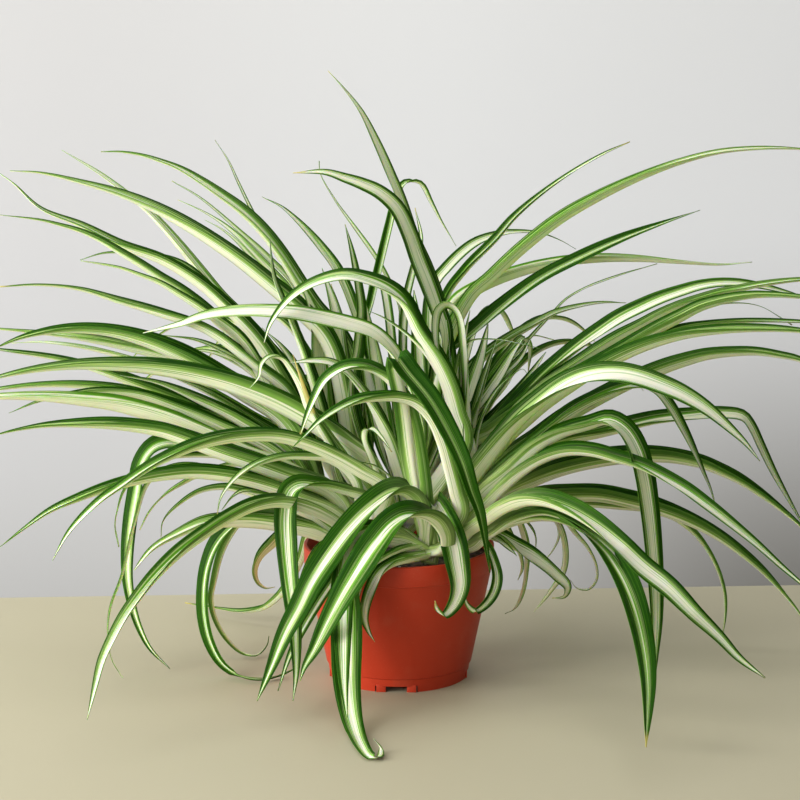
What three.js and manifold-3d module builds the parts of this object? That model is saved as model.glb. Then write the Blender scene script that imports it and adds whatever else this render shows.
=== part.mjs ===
// A potted spider plant: a plastic nursery pot, its soil and eleven crowns of long, arching leaves.
// Millimetres, +Z up. The origin is the middle of the pot's underside, and -Y is the front.

import * as THREE from "three";
import { mergeVertices } from "three/addons/utils/BufferGeometryUtils.js";
import Module from "manifold-3d";

const wasm = await Module();
wasm.setup();

// The pot, a 6 inch one
const potHeight = 107;
const rimRadius = 76;
const rimBand = 16;
const rimProud = 1.2;
const rimWidth = 2.6;
const wallBelowRim = 74.6;
const baseRadius = 56;
const wall = 1.6;
const draft = 0.8;
const easing = 0.6;
const skirtHeight = 5.5;
const skirtStep = 1.5;
const skirtStepHeight = 11;
const floorThickness = 2;
const floorCorner = 4;
const centreFootRadius = 7;
const potSides = 40;

// Drain notches in the skirt, each with two small feet set back in it
const notchCount = 4;
const notchWidth = 33.4;
const notchHeight = 5;
const notchDepth = 14;
const notchTurn = -2.2;
const footWidth = 7.4;
const footOffset = 12;
const footSetback = 1;
const drainHoleRadius = 4;
const drainHoleCircle = 40;
const drainHoleSides = 16;

// The soil fills the pot to a little below its rim
const soilTop = 97;
const soilDome = 1.5;
const soilShoulder = 40;
const gap = 0.3;

// Crowns stand in plain holes in the soil. A crown's core is drawn as shares of its radius, at heights above
// the soil's top.
const coreRadius = 9.5;
const coreDepth = 18;
const coreSides = 10;
const coreProfile = [
  [0.8, -coreDepth],
  [1, 3 - coreDepth],
  [1, 4.5],
  [0.8, 18],
  [0.4, 30],
];
const crowns = {
  back_left: [-30, 42],
  left_back: [-55, 19],
  left: [-54, -9],
  front_left: [-30, -37],
  front: [20, -46],
  centre: [0, -4],
  back: [3, 34],
  back_right: [33, 45],
  right_back: [57, 19],
  right: [58, -8],
  front_right: [46, -34],
};

// The eye that the leaf paths were read from: how far it stands in front of the pot's axis, how high above
// the pot's underside, how far it looks down, and how many picture points one unit of slope covers.
const eye = { side: 0.8, away: 1930, height: 616, pitch: 11.5, focal: 2494, middle: 400 };

// Leaves. Each row: name, crown, depth of the tip behind the pot's axis, width, how far the blade turns its
// upper face to the front, then the path from crown to tip as columns and rows of an 800 by 800 picture.
const leaves = [
  // back left crown
  ["a1", "back_left", 175, 29, 0.1, [345,350, 312,304, 280,254, 260,229, 240,210, 220,195, 200,181,
      180,169, 160,161, 140,155, 120,152, 101,152]],
  ["a2", "back_left", 124, 24, 0.1, [275,358, 245,322, 220,297, 200,272, 180,247, 160,224, 145,209,
      130,197, 100,174, 62,150]],
  ["a3", "back_left", 73, 34, 0.12, [330,345, 300,310, 270,284, 240,260, 200,233, 160,211, 120,194, 80,182,
      40,173, 10,171]],
  ["a9", "back_left", 226, 13, 0.12, [300,297, 268,258, 240,232, 200,198, 172,181]],
  ["a10", "back_left", 260, 17, 0.1, [315,330, 290,292, 268,268, 250,249, 235,234, 220,222, 200,210,
      178,200]],
  ["a11", "back_left", 245, 14, 0.1, [320,345, 295,305, 268,274, 250,256, 235,240, 220,228, 205,220]],
  ["a12", "back_left", 209, 8, 0.5, [325,345, 312,305, 300,287, 268,241, 250,207, 238,182, 228,160,
      215,140]],
  ["b5", "back_left", 141, 24, 0.1, [365,345, 355,315, 345,288, 335,268, 320,247, 305,229, 290,214,
      280,206, 262,197]],
  ["a4", "back_left", 80, 27, 0.1, [262,345, 225,305, 200,283, 162,260, 120,245, 80,225, 40,208, 13,183,
      -3,172]],
  ["a6", "back_left", 90, 18, 0.1, [262,350, 225,306, 205,282, 185,265, 165,257, 140,254, 105,253, 80,260]],
  ["e21", "back_left", 165, 16, 0.1, [350,512, 332,508, 312,528, 300,562, 285,589, 275,600, 262,608,
      242,611, 217,608, 185,603]],
  ["n4", "back_left", 60, 34, 0.5, [345,500, 330,440, 322,400, 318,350, 315,318, 300,280]],
  ["n13", "back_left", 95, 18, 0.2, [330,450, 312,405, 296,368, 280,345, 262,328]],
  ["n5", "back_left", 85, 24, 0.5, [352,480, 347,440, 345,400, 340,350, 335,310, 322,268]],
  ["n10", "back_left", 110, 19, 0.2, [370,470, 356,410, 346,350, 337,305, 331,284]],
  ["n7", "back_left", 70, 20, 0.2, [350,480, 330,430, 315,390, 303,350, 296,318]],
  // left back crown
  ["a5", "left_back", 22, 23, 0.1, [245,345, 220,322, 200,304, 180,289, 160,277, 140,264, 120,252, 100,240,
      80,231, 60,225, 40,220, 0,215]],
  ["a7", "left_back", 4, 22, 0.1, [245,345, 200,308, 180,295, 160,283, 140,275, 120,268, 100,264, 81,261]],
  ["a8", "left_back", -13, 22, 0.1, [290,395, 260,368, 240,352, 220,337, 200,326, 160,313, 120,301, 80,289,
      40,285, 0,287]],
  ["e2", "left_back", 55, 26, 0.1, [270,408, 230,381, 175,359, 120,345, 70,336, 32,332, 0,329, -30,327]],
  ["e2b", "left_back", 45, 16, 0.1, [300,447, 250,414, 200,387, 160,369, 120,356, 80,347, 40,342, 12,343]],
  ["ld", "left_back", 21, 28, 0.1, [300,470, 250,437, 220,422, 180,402, 140,385, 100,370, 60,359, 0,350,
      -20,347]],
  ["lh", "left_back", 55, 18, 0.1, [300,420, 258,378, 240,365, 210,352, 175,350]],
  ["li", "left_back", 35, 20, 0.1, [300,415, 258,377, 240,362, 200,341, 160,335]],
  ["e12", "left_back", 55, 12, 0.1, [300,455, 240,425, 200,422, 165,428, 145,447, 136,462]],
  ["e20", "left_back", 38, 14, 0.1, [335,525, 290,512, 262,512, 245,517, 235,527, 222,550, 214,580,
      211,600, 216,620, 228,640, 243,653, 257,655, 267,645, 269,636]],
  ["e22", "left_back", 21, 24, 0.1, [335,525, 312,520, 290,528, 272,543, 259,557, 255,570, 258,582,
      266,588, 275,587]],
  // left crown
  ["e3", "left", 10, 39, 0.09, [290,425, 245,392, 220,377, 200,365, 180,354, 160,345, 140,338, 120,333,
      100,330, 80,329, 60,330, 40,333, 20,338, 0,346, -15,354]],
  ["e4", "centre", -49, 40, 0.07, [370,465, 345,443, 320,425, 280,402, 240,386, 200,375, 160,368, 120,365,
      80,365, 40,369, 0,377, -30,386]],
  ["e5", "left", -36, 24, 0.07, [280,455, 220,425, 180,408, 140,394, 100,391, 80,393, 40,401, 9,413]],
  ["e6", "left", -6, 24, 0.1, [290,455, 240,427, 190,410, 150,398, 120,390, 80,385, 40,385, 0,389,
      -45,396]],
  ["e7", "left", -62, 36, 0.09, [310,484, 240,450, 200,432, 160,416, 120,405, 80,400, 40,397, 0,397,
      -60,401]],
  ["lb", "left", -23, 27, 0.1, [290,455, 240,420, 200,400, 160,383, 120,375]],
  ["lc", "left", -4, 26, 0.1, [300,455, 260,425, 230,405, 200,388, 175,378]],
  ["e10", "left", -10, 26, 1.2, [320,505, 280,470, 235,450, 185,443, 165,442, 151,448, 140,465, 136,490,
      131,520, 128,550, 128,578, 132,603, 139,626, 150,648, 170,669]],
  ["e11", "left", 16, 12, 0.07, [300,490, 240,460, 190,455, 150,463, 125,489, 118,507, 115,525, 119,547]],
  ["e11b", "left", -23, 9, 0.07, [300,500, 240,475, 180,465, 150,480, 135,520, 122,575, 110,610, 108,638,
      112,660, 123,678]],
  ["e19", "left", -20, 19, 1.0, [335,530, 290,516, 262,515, 240,520, 226,530, 214,546, 206,568, 203,592,
      204,618, 210,643, 222,664, 240,676, 262,679, 280,675, 298,667]],
  // front left crown
  ["e8", "front_left", -76, 33, 0.1, [335,495, 280,472, 220,451, 180,436, 160,430, 120,425, 80,424, 40,426,
      0,434, -10,438]],
  ["l1", "front_left", -93, 28, 0.12, [340,515, 300,496, 260,482, 220,474, 190,472, 160,475, 140,479,
      110,487, 80,498, 50,511, 25,528, 0,547]],
  ["l2", "front_left", -161, 26, 0.16, [385,490, 360,470, 320,448, 280,436, 240,436, 200,444, 160,461,
      140,473, 120,487, 100,501, 70,531, 52,561]],
  ["e13", "front_left", -229, 24, 0.12, [347,533, 332,520, 306,507, 281,501, 255,505, 230,517, 204,534,
      179,553, 155,577, 138,598, 124,618, 110,644, 102,662, 96,684, 91,704, 87,720]],
  ["e14", "front_left", -76, 30, 0.16, [350,545, 332,538, 306,529, 281,524, 255,521, 230,521, 204,524,
      179,534, 153,549, 134,570]],
  ["e15", "front_left", -8, 17, 0.14, [320,520, 262,497, 242,490, 222,487, 200,491, 179,504, 163,521,
      161,537]],
  ["e16", "front_left", -76, 17, 0.14, [355,480, 330,459, 306,456, 281,457, 255,465, 235,479, 221,498,
      217,516]],
  ["e18", "left_back", 60, 14, 0.1, [300,470, 250,462, 210,470, 185,482, 163,496, 150,511, 140,530]],
  ["e17", "front_left", -42, 18, 0.1, [320,520, 285,500, 258,493, 243,491, 232,497, 222,510]],
  ["e23", "front_left", -128, 22, 1.0, [375,515, 362,496, 340,488, 318,483, 300,484, 290,492, 286,515,
      287,545, 290,580, 294,615, 296,645, 296,675, 293,701]],
  ["e24", "front_left", -84, 16, 0.5, [362,540, 342,538, 322,549, 309,570, 302,600, 299,630]],
  // front crown
  ["al", "front", -145, 29, 1.0, [425,530, 421,508, 414,495, 402,488, 390,491, 370,506, 348,530, 329,556,
      312,582, 299,608, 286,632, 271,668, 257,701]],
  ["be", "front", [-100, -135, -150, -160], 29, 1.0, [442,550, 445,535, 437,520, 424,512, 408,512, 392,522,
      376,542, 360,566, 343,594, 328,622, 314,650, 304,668, 300,681]],
  ["ka", "front", -116, 14, 0.8, [400,540, 375,535, 352,555, 330,585, 305,625, 290,655, 278,691]],
  ["ga", "front", [-70, -105, -160, -218], 21, 0.9, [390,530, 365,528, 350,545, 344,570, 343,595, 343,625,
      343,655, 344,685, 347,718]],
  ["e27", "front", [-78, -98, -140, -205], 32, 0.8, [395,540, 368,540, 350,558, 346,585, 347,615, 347,645,
      347,675, 349,700, 353,722, 360,742, 370,756, 379,757, 381,749, 374,739]],
  ["de", "front", [-76, -84, -84, -78], 18, 0.5, [430,554, 418,557, 405,559, 393,563, 381,572, 373,586,
      367,602, 365,618, 369,632, 375,642]],
  ["de2", "front", [-72, -82, -84, -82], 11, 0.14, [424,546, 405,548, 388,555, 373,566, 364,580, 358,600]],
  ["p2", "front", -62, 15, 0.3, [425,552, 404,543, 384,541, 364,547, 350,558]],
  ["ep", "front", -95, 26, 0.9, [428,530, 430,515, 434,502, 445,520, 453,541, 457,560, 460,587, 454,605,
      444,615, 437,609, 435,601]],
  ["f1", "front", [-60, -80, -114, -118], 23, 0.9, [412,470, 404,400, 396,356, 409,372, 430,398, 447,427,
      462,459, 472,490, 480,512, 485,537, 490,573]],
  ["f2", "front", -82, 30, 0.3, [430,560, 424,512, 418,455, 411,418, 403,395, 388,377, 368,367, 346,367,
      326,379, 313,402, 298,441]],
  ["f3", "front", -108, 26, 0.1, [459,514, 455,490, 449,465, 442,440, 432,418, 416,402, 400,397, 380,397,
      360,400, 340,408, 320,421, 304,437, 291,449]],
  // centre crown
  ["e1", "centre", -10, 26, 0.9, [420,430, 410,390, 398,360, 385,343, 370,332, 345,324, 320,318, 300,314,
      280,312, 250,311, 220,313, 200,317, 180,324, 160,329, 143,333]],
  ["f5", "centre", -30, 28, 0.5, [412,520, 404,485, 396,460, 386,432, 373,406, 358,385, 345,371, 330,363,
      310,361, 289,363]],
  ["f6", "centre", -60, 20, 0.1, [360,480, 330,440, 308,406, 302,390, 291,370, 281,358, 270,357, 262,364,
      259,377, 250,388]],
  ["f7", "centre", -55, 15, 0.1, [350,480, 330,445, 312,412, 293,355]],
  ["f8", "centre", 20, 22, 0.14, [345,490, 332,450, 323,415, 313,380, 303,350, 293,325, 274,277, 271,255,
      270,238]],
  ["f10", "centre", -10, 17, 0.14, [460,480, 455,440, 450,405, 441,378, 427,355, 409,336, 384,318,
      367,310]],
  ["b6", "centre", -20, 36, 0.5, [463,440, 457,410, 450,385, 438,359, 420,332, 405,303, 390,290, 370,281,
      345,276, 320,281, 300,291, 285,304, 270,325, 264,343]],
  ["b7", "centre", 30, 19, 0.5, [352,400, 358,345, 361,310, 358,285, 354,262, 350,243, 345,224]],
  ["c8", "centre", -10, 24, 0.8, [469,460, 467,428, 466,389, 465,351, 461,319, 455,308, 446,304, 438,310,
      435,328, 437,350, 441,372]],
  ["h4", "centre", 0, 4, 0.07, [452,400, 450,357, 446,320]],
  ["h11", "centre", 4, 6, 0.14, [458,400, 462,352, 471,341, 489,339, 508,341, 541,349]],
  ["n8", "centre", -50, 9, 0.8, [390,520, 376,470, 364,438, 366,430, 373,429, 382,438, 392,452]],
  ["n9", "centre", -55, 6, 0.1, [400,520, 392,480, 375,466, 360,462]],
  ["n6", "centre", 34, 24, 0.2, [400,500, 392,460, 385,420, 378,380, 372,340, 366,303]],
  ["n12", "back", 60, 25, 1.2, [404,495, 394,470, 384,440, 376,410, 368,375, 360,345]],
  ["n11", "back", 66, 27, 0.2, [425,490, 424,430, 421,380, 418,335, 414,290]],
  // back crown
  ["b1", "back", 60, 22, 0.35, [450,400, 439,310, 427,270, 412,235, 400,200, 391,178, 375,140, 360,110,
      340,84, 328,71]],
  ["b2", "back", -12, 27, 2.0, [445,340, 437,310, 428,285, 418,260, 408,232, 396,208, 380,193, 362,184,
      345,178, 325,172, 293,173]],
  ["b3", "back", 107, 17, 0.07, [366,330, 372,300, 378,275, 384,250, 390,225, 396,200, 403,184, 412,180.5,
      421,184, 431,202, 441,221, 450,236, 456,246]],
  ["b4", "back", 146, 9, 0.1, [400,310, 388,280, 375,257, 355,228, 335,200, 320,173, 319,161]],
  ["b8", "back", 120, 15, 0.1, [405,310, 413,270, 421,240, 415,208]],
  ["m4", "back", 12, 30, 0.1, [440,440, 455,390, 462,350, 470,310]],
  // back right crown
  ["c1", "back_right", 133, 18, 0.12, [440,400, 445,300, 465,270, 495,240, 515,217, 545,191, 575,170,
      605,153, 630,142]],
  ["c2", "back_right", 101, 25, 0.12, [440,370, 470,297, 490,278, 520,250, 560,219, 600,196, 640,177,
      680,162, 720,152, 760,148.5, 797,149, 830,152]],
  ["c3", "back_right", 181, 19, 0.5, [433,290, 448,267, 475,243, 500,234, 515,232, 540,233, 560,240,
      576,249]],
  ["c4", "back_right", 93, 23, 0.8, [440,360, 461,341, 480,325, 500,308, 540,278, 580,257, 620,239,
      660,224, 700,210]],
  ["c5", "back_right", 117, 27, 0.03, [440,350, 455,305, 480,287, 520,271, 560,262, 600,258.5, 640,259,
      680,262, 720,264.5, 752,262]],
  ["c6", "back_right", 197, 7, 0.14, [480,400, 520,350, 553,313, 565,300, 585,288, 620,275, 657,264]],
  ["c7", "back_right", 149, 22, 0.14, [454,388, 470,370, 490,352, 512,337, 533,325, 555,313, 580,306,
      605,302.5, 626,303]],
  ["d8", "back_right", 213, 7, 0.1, [480,420, 510,380, 522,345, 532,336, 550,339, 567,345]],
  ["m1", "back_right", 60, 34, 0.4, [462,440, 472,390, 482,355, 488,324]],
  ["m2", "back_right", 90, 30, 0.14, [470,430, 490,385, 510,355, 524,338, 529,345, 528,375]],
  ["m3", "back_right", 75, 30, 0.14, [468,440, 486,400, 508,372, 522,356, 531,338]],
  ["m5", "back_right", 50, 30, 0.5, [455,440, 478,408, 500,376, 514,352, 525,336]],
  ["m6", "back_right", 30, 32, 0.5, [462,450, 474,412, 484,380, 492,354, 497,340]],
  ["m7", "back_right", 58, 30, 0.2, [470,448, 490,424, 510,402, 530,376, 546,352]],
  // right back crown
  ["d1", "right_back", 66, 26, 0.7, [490,440, 534,385, 560,361, 580,345, 600,331, 620,318, 640,308,
      660,299, 680,292, 700,286, 720,283, 740,283, 760,286, 785,292, 812,300]],
  ["d2", "right_back", 36, 24, 0.14, [500,430, 540,388, 570,368, 600,348, 620,336, 640,326, 660,315,
      680,306, 700,299, 720,293, 740,289, 760,285, 800,280, 870,279]],
  ["d3", "right_back", 6, 30, 0.14, [462,450, 490,430, 520,408, 560,385, 600,362, 640,338, 660,327,
      680,317, 700,307, 720,301, 740,297, 760,295, 800,297, 868,308]],
  ["d5", "right_back", 13, 20, 0.14, [500,440, 560,388, 600,366, 640,345, 680,329, 700,325, 740,321,
      800,322, 850,326]],
  ["d7", "right_back", 96, 7, 0.14, [500,430, 560,370, 620,335, 680,312, 735,303, 760,306, 780,317,
      792,325]],
  ["g3", "right_back", 50, 33, 0.14, [500,513, 520,503, 540,497, 570,494, 600,494, 630,500, 660,508,
      693,521, 720,536, 745,555, 770,578, 800,614, 808,629]],
  ["g9", "right_back", 80, 20, 0.1, [510,520, 560,503, 620,505, 665,512, 690,528, 705,545, 717,567,
      724,592, 725,615, 723,634]],
  ["e32", "right_back", 165, 12, 0.1, [480,520, 500,508, 540,505, 558,525, 565,550, 563,572, 550,592,
      534,612]],
  ["e33", "right_back", 120, 6, 0.1, [500,512, 535,505, 553,515, 559,535, 553,550, 545,560]],
  ["e34", "right_back", 60, 9, 0.1, [500,515, 535,503, 560,515, 575,533, 588,548, 596,565, 596,580,
      588,589, 577,588, 570,580]],
  ["e35", "right_back", 40, 12, 0.1, [480,525, 500,512, 515,515, 522,530, 526,550, 526,570, 522,592,
      515,608, 505,614]],
  ["e36", "right_back", 60, 11, 0.1, [480,522, 493,515, 503,522, 510,535, 518,550, 522,568, 518,580]],
  ["e37", "right_back", 30, 9, 0.3, [480,520, 500,508, 515,510, 527,522, 535,535, 536,547]],
  // right crown
  ["d4", "right", -24, 28, 0.14, [490,460, 534,412, 575,382, 600,366, 640,347, 680,335, 720,330, 760,329,
      800,331, 870,341]],
  ["d6", "right", -11, 31, 0.1, [490,475, 538,437, 563,418, 590,402, 619,387, 645,375, 665,367, 680,362,
      706,355, 735,352, 757,352, 783,356, 800,360, 860,392]],
  ["h8", "right", 9, 9, 0.14, [478,430, 494,394, 508,379, 523,369, 528,375]],
  ["g4", "right", 15, 33, 0.14, [500,497, 530,480, 560,468, 600,459, 640,455, 670,456, 700,462, 720,470,
      740,480, 760,493, 780,508, 800,525, 830,556]],
  ["g5", "right", -24, 27, 0.6, [490,488, 530,453, 570,438, 600,432, 627,426, 655,420, 693,416, 724,414,
      743,417, 751,427, 760,446, 773,473, 793,508, 810,536]],
  // front right crown
  ["g7", "front_right", -88, 36, 0.8, [455,510, 470,480, 490,452, 515,422, 540,401, 560,387, 580,378,
      600,374, 620,374, 640,378, 660,385, 681,394, 706,409, 730,429, 745,443, 760,461]],
  ["g6", "front_right", -73, 25, 0.5, [480,490, 500,470, 540,436, 570,412, 600,396, 625,387, 643,385,
      658,392, 670,407, 682,428, 693,450, 703,472, 711,490, 716,507]],
  ["g1", "front_right", -126, 28, 0.8, [470,510, 485,490, 510,469, 535,446, 560,432, 585,425, 607,420,
      624,430, 636,450, 643,475, 648,505, 652,540, 655,580, 656,620, 654,660, 652,704]],
  ["g2a", "front_right", -148, 24, 0.5, [475,515, 484,506, 515,475, 540,458, 566,450, 591,451, 617,458,
      642,466, 681,487, 706,505, 732,525, 757,545, 783,568, 815,595]],
  ["g2b", "front_right", [-100, -160, -185, -193], 29, 0.7, [466,533, 484,520, 502,507, 522,499, 543,499,
      566,507, 591,522, 617,543, 642,567, 668,588, 693,613, 719,637, 739,658, 765,678]],
  ["g2c", "front_right", [-60, -110, -190, -283], 28, 0.7, [475,545, 488,533, 510,520, 535,514, 558,516,
      584,528, 604,546, 620,570, 631,594, 639,620, 645,650, 648,680, 648,706, 646,747]],
  ["g2d", "front_right", -163, 13, 0.5, [490,535, 515,518, 545,512, 573,522, 599,538, 619,558, 635,589,
      645,617, 651,650, 651,690]],
  ["h1", "front_right", -30, 26, 0.8, [465,540, 480,531, 500,537, 520,549, 540,562, 556,575, 567,587,
      564,596, 552,598]],
  ["e31", "front_right", -45, 12, 0.5, [462,550, 468,545, 480,538, 492,537, 505,545, 517,556]],
  ["e40", "front_right", -62, 13, 0.6, [470,545, 480,540, 488,548, 494,562, 497,578, 493,594, 484,606,
      475,611, 467,604, 464,592]],
  ["p1", "front", -57, 9, 0.1, [440,554, 420,540, 402,528, 378,524]],
];

// Blade section and how it changes from the root, 0, to the tip, 1
const ribThickness = 1.7;
const thinRibThickness = 1.3;
const thinBlade = 21;
const foldAtRoot = 60;
const foldAtTip = 34;
const flatterWhenTurned = 20;
const foldHeld = 0.5;
const heldLessWhenTurned = 0.8;
const earlierOpening = 0.45;
const facingAtRoot = 0.25;
const facingFrom = 0.2;
const facingTo = 0.9;
const rootWidth = 0.6;
const fullWidthAt = 0.25;
const taperPower = 2.7;
const taperRound = 0.9;
const lowestPoint = 1.2;
const leastThickness = 0.6;
const bladeRest = 3;
const turnWeight = 26;
const pathSteps = 90;
const depthEase = 1.1;
const fanTurn = 75;
const rootInner = 2.5;
const rootOuter = 6.5;
const rootLow = 1;
const rootHigh = 18;
const wideBladeSegments = 6;
const thinBladeSegments = 5;
const leastSegments = 3;
const bendPerSegment = 120;

// Fillers: plain leaves that arch to the back and sides, where the picture shows none
const fillerSeed = 12;
const fillers = [
  // crown, first and last azimuth, number of leaves
  ["back_left", 112, 165, 4],
  ["back", 76, 112, 4],
  ["back_right", 40, 76, 3],
];
const filler = {
  start: { out: 4, up: 2 },
  reach: [150, 270],
  rise: [380, 680],
  tipRise: [50, 130],
  width: [12, 18],
  jitter: 0.6,
  ease: 1.2,
};

const degrees = Math.PI / 180;

function material(color, roughness) {
  return new THREE.MeshStandardMaterial({ color, roughness, metalness: 0 });
}

const terracotta = material(0xb04428, 0.45);
const potting = material(0x3a2a1e, 0.95);
const foliage = material(0x6f9a4a, 0.55);

// Solids

function solidFrom(positions, triangles) {
  const mesh = new wasm.Mesh({
    numProp: 3,
    vertProperties: new Float32Array(positions),
    triVerts: new Uint32Array(triangles),
  });
  mesh.merge();
  return new wasm.Manifold(mesh);
}

function solidOf(geometry) {
  const bare = geometry.clone();
  bare.deleteAttribute("normal");
  bare.deleteAttribute("uv");
  const merged = mergeVertices(bare, 1e-4);
  const p = merged.attributes.position.array;
  const index = merged.index.array;
  const kept = [];
  let volume = 0;
  for (let i = 0; i < index.length; i += 3) {
    const [a, b, c] = [index[i], index[i + 1], index[i + 2]];
    if (a === b || b === c || c === a) continue;
    kept.push(a, b, c);
    const corners = [a, b, c].map((k) => new THREE.Vector3(p[3 * k], p[3 * k + 1], p[3 * k + 2]));
    volume += corners[0].dot(corners[1].clone().cross(corners[2]));
  }
  if (volume < 0) kept.reverse();
  return solidFrom(p, kept);
}

function geometryOf(solid) {
  const mesh = solid.getMesh();
  const geometry = new THREE.BufferGeometry();
  geometry.setAttribute("position", new THREE.BufferAttribute(Float32Array.from(mesh.vertProperties), 3));
  geometry.setIndex(Array.from(mesh.triVerts));
  geometry.computeVertexNormals();
  return geometry;
}

function turned(profile, sides) {
  const points = profile.map(([r, z]) => new THREE.Vector2(r, z));
  const geometry = new THREE.LatheGeometry(points, sides);
  geometry.rotateX(Math.PI / 2);
  return solidOf(geometry);
}

function block(width, depth, height, x, y, z, turn) {
  const geometry = new THREE.BoxGeometry(width, depth, height);
  geometry.translate(x, y, z);
  geometry.rotateZ(turn * degrees);
  return solidOf(geometry);
}

function pin(radius, bottom, top, x, y, sides) {
  const geometry = new THREE.CylinderGeometry(radius, radius, top - bottom, sides);
  geometry.rotateX(Math.PI / 2);
  geometry.translate(x, y, (top + bottom) / 2);
  return solidOf(geometry);
}

// The largest body of a union, so that sealed hollows and loose scraps are left behind
function mainBody(solid) {
  const pieces = solid.decompose();
  return pieces.reduce((best, piece) => (piece.volume() > best.volume() ? piece : best));
}

// Pot

const bandBottom = potHeight - rimBand;
const floorTop = skirtHeight + floorThickness;
const wallFoot = { radius: baseRadius + draft + skirtStep, z: skirtStepHeight + easing };
const wallHead = { radius: wallBelowRim, z: bandBottom - easing };

function wallRadius(z) {
  const share = (z - wallFoot.z) / (wallHead.z - wallFoot.z);
  return wallFoot.radius + (wallHead.radius - wallFoot.radius) * share;
}

const innerTop = wallRadius(bandBottom) - wall;
const innerCorner = wallRadius(floorTop + floorCorner) - wall;

function pot() {
  let solid = turned([
    [0, 0],
    [centreFootRadius, 0],
    [centreFootRadius + draft, skirtHeight],
    [baseRadius - wall, skirtHeight],
    [baseRadius - wall, 0],
    [baseRadius, 0],
    [baseRadius + draft, skirtStepHeight - easing],
    [wallFoot.radius, wallFoot.z],
    [wallHead.radius, wallHead.z],
    [wallBelowRim + rimProud, bandBottom],
    [rimRadius, potHeight - easing],
    [rimRadius - easing, potHeight],
    [rimRadius - rimWidth, potHeight],
    [innerTop, bandBottom],
    [innerCorner, floorTop + floorCorner],
    [innerCorner - floorCorner, floorTop],
    [0, floorTop],
  ], potSides);
  for (let i = 0; i < notchCount; i += 1) {
    const turn = notchTurn + (360 / notchCount) * i;
    const cut = block(notchWidth, notchDepth, 2 * notchHeight, 0, -baseRadius, 0, turn);
    solid = solid.subtract(cut);
    for (const side of [-1, 1]) {
      const y = footSetback + wall / 2 - baseRadius;
      const footTop = skirtHeight + easing;
      solid = solid.add(block(footWidth, wall, footTop, side * footOffset, y, footTop / 2, turn));
    }
    const angle = (turn - 90) * degrees;
    const hole = [drainHoleCircle * Math.cos(angle), drainHoleCircle * Math.sin(angle)];
    solid = solid.subtract(pin(drainHoleRadius, -1, floorTop + 1, ...hole, drainHoleSides));
  }
  return mainBody(solid);
}

// Soil

function soil() {
  let solid = turned([
    [0, floorTop + gap],
    [innerCorner - floorCorner - gap, floorTop + gap],
    [innerCorner - 2 * gap, floorTop + floorCorner + gap],
    [innerTop - 2 * gap, soilTop - soilDome],
    [soilShoulder, soilTop - soilDome / 4],
    [0, soilTop],
  ], potSides);
  for (const [x, y] of Object.values(crowns)) {
    solid = solid.subtract(pin(coreRadius + gap, soilTop - coreDepth - gap, potHeight, x, y, coreSides));
  }
  return mainBody(solid);
}

// Leaves

function toPicture(point) {
  const pitch = eye.pitch * degrees;
  const away = point.y + eye.away;
  const down = eye.height - point.z;
  const along = away * Math.cos(pitch) + down * Math.sin(pitch);
  const below = down * Math.cos(pitch) - away * Math.sin(pitch);
  const u = eye.middle + (eye.focal * (point.x - eye.side)) / along;
  return [u, eye.middle + (eye.focal * below) / along];
}

// A picture point back in space, at a depth behind the pot's axis, but never below the pot's underside
function toSpace([u, v], depth) {
  const pitch = eye.pitch * degrees;
  const right = (u - eye.middle) / eye.focal;
  const below = (v - eye.middle) / eye.focal;
  const forward = Math.cos(pitch) - Math.sin(pitch) * below;
  const down = Math.sin(pitch) + Math.cos(pitch) * below;
  let reach = (depth + eye.away) / forward;
  if (eye.height - reach * down < bladeRest) reach = (eye.height - bladeRest) / down;
  return new THREE.Vector3(eye.side + reach * right, reach * forward - eye.away, eye.height - reach * down);
}

// A smooth curve through picture points
function curveThrough(points) {
  return new THREE.CatmullRomCurve3(points.map(([u, v]) => new THREE.Vector3(u, v, 0)), false, "centripetal");
}

function pairs(flat) {
  const list = [];
  for (let i = 0; i < flat.length; i += 2) list.push([flat[i], flat[i + 1]]);
  return list;
}

// How far behind the pot's axis a leaf is at s, from its root, 0, to its tip, 1. One depth is reached by a
// gentle curve, and a list of depths is passed through at equal steps.
function depthAt(rootDepth, depth, s) {
  if (!Array.isArray(depth)) return rootDepth + (depth - rootDepth) * s ** depthEase;
  const stops = [rootDepth, ...depth];
  const place = s * depth.length;
  const k = Math.min(Math.floor(place), depth.length - 1);
  return stops[k] + (stops[k + 1] - stops[k]) * (place - k);
}

// Points along a leaf's rib. Roots stand round their crown in a fan, upright leaves nearer its middle.
function ribOf(crown, depth, flat, turn) {
  const [x, y] = crowns[crown];
  const path = pairs(flat);
  const tipDepth = Array.isArray(depth) ? depth[depth.length - 1] : depth;
  const aim = toSpace(path[path.length - 1], tipDepth);
  const [u, v] = toPicture(new THREE.Vector3(x, y, soilTop));
  const steep = Math.max(0, (v - path[0][1]) / Math.hypot(u - path[0][0], v - path[0][1]));
  const angle = Math.atan2(aim.y - y, aim.x - x) + turn * fanTurn * degrees;
  const spread = rootOuter + (rootInner - rootOuter) * steep;
  const height = soilTop + rootLow + (rootHigh - rootLow) * steep;
  const root = new THREE.Vector3(x + spread * Math.cos(angle), y + spread * Math.sin(angle), height);
  const fine = curveThrough([toPicture(root), ...path]).getSpacedPoints(pathSteps);
  return fine.map((p, i) => toSpace([p.x, p.y], depthAt(root.y, depth, i / pathSteps)));
}

// The sum of all turns along a rib, in degrees
function bendOf(points) {
  let bend = 0;
  for (let i = 1; i < points.length - 1; i += 1) {
    const before = points[i].clone().sub(points[i - 1]);
    bend += before.angleTo(points[i + 1].clone().sub(points[i]));
  }
  return bend / degrees;
}

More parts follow.
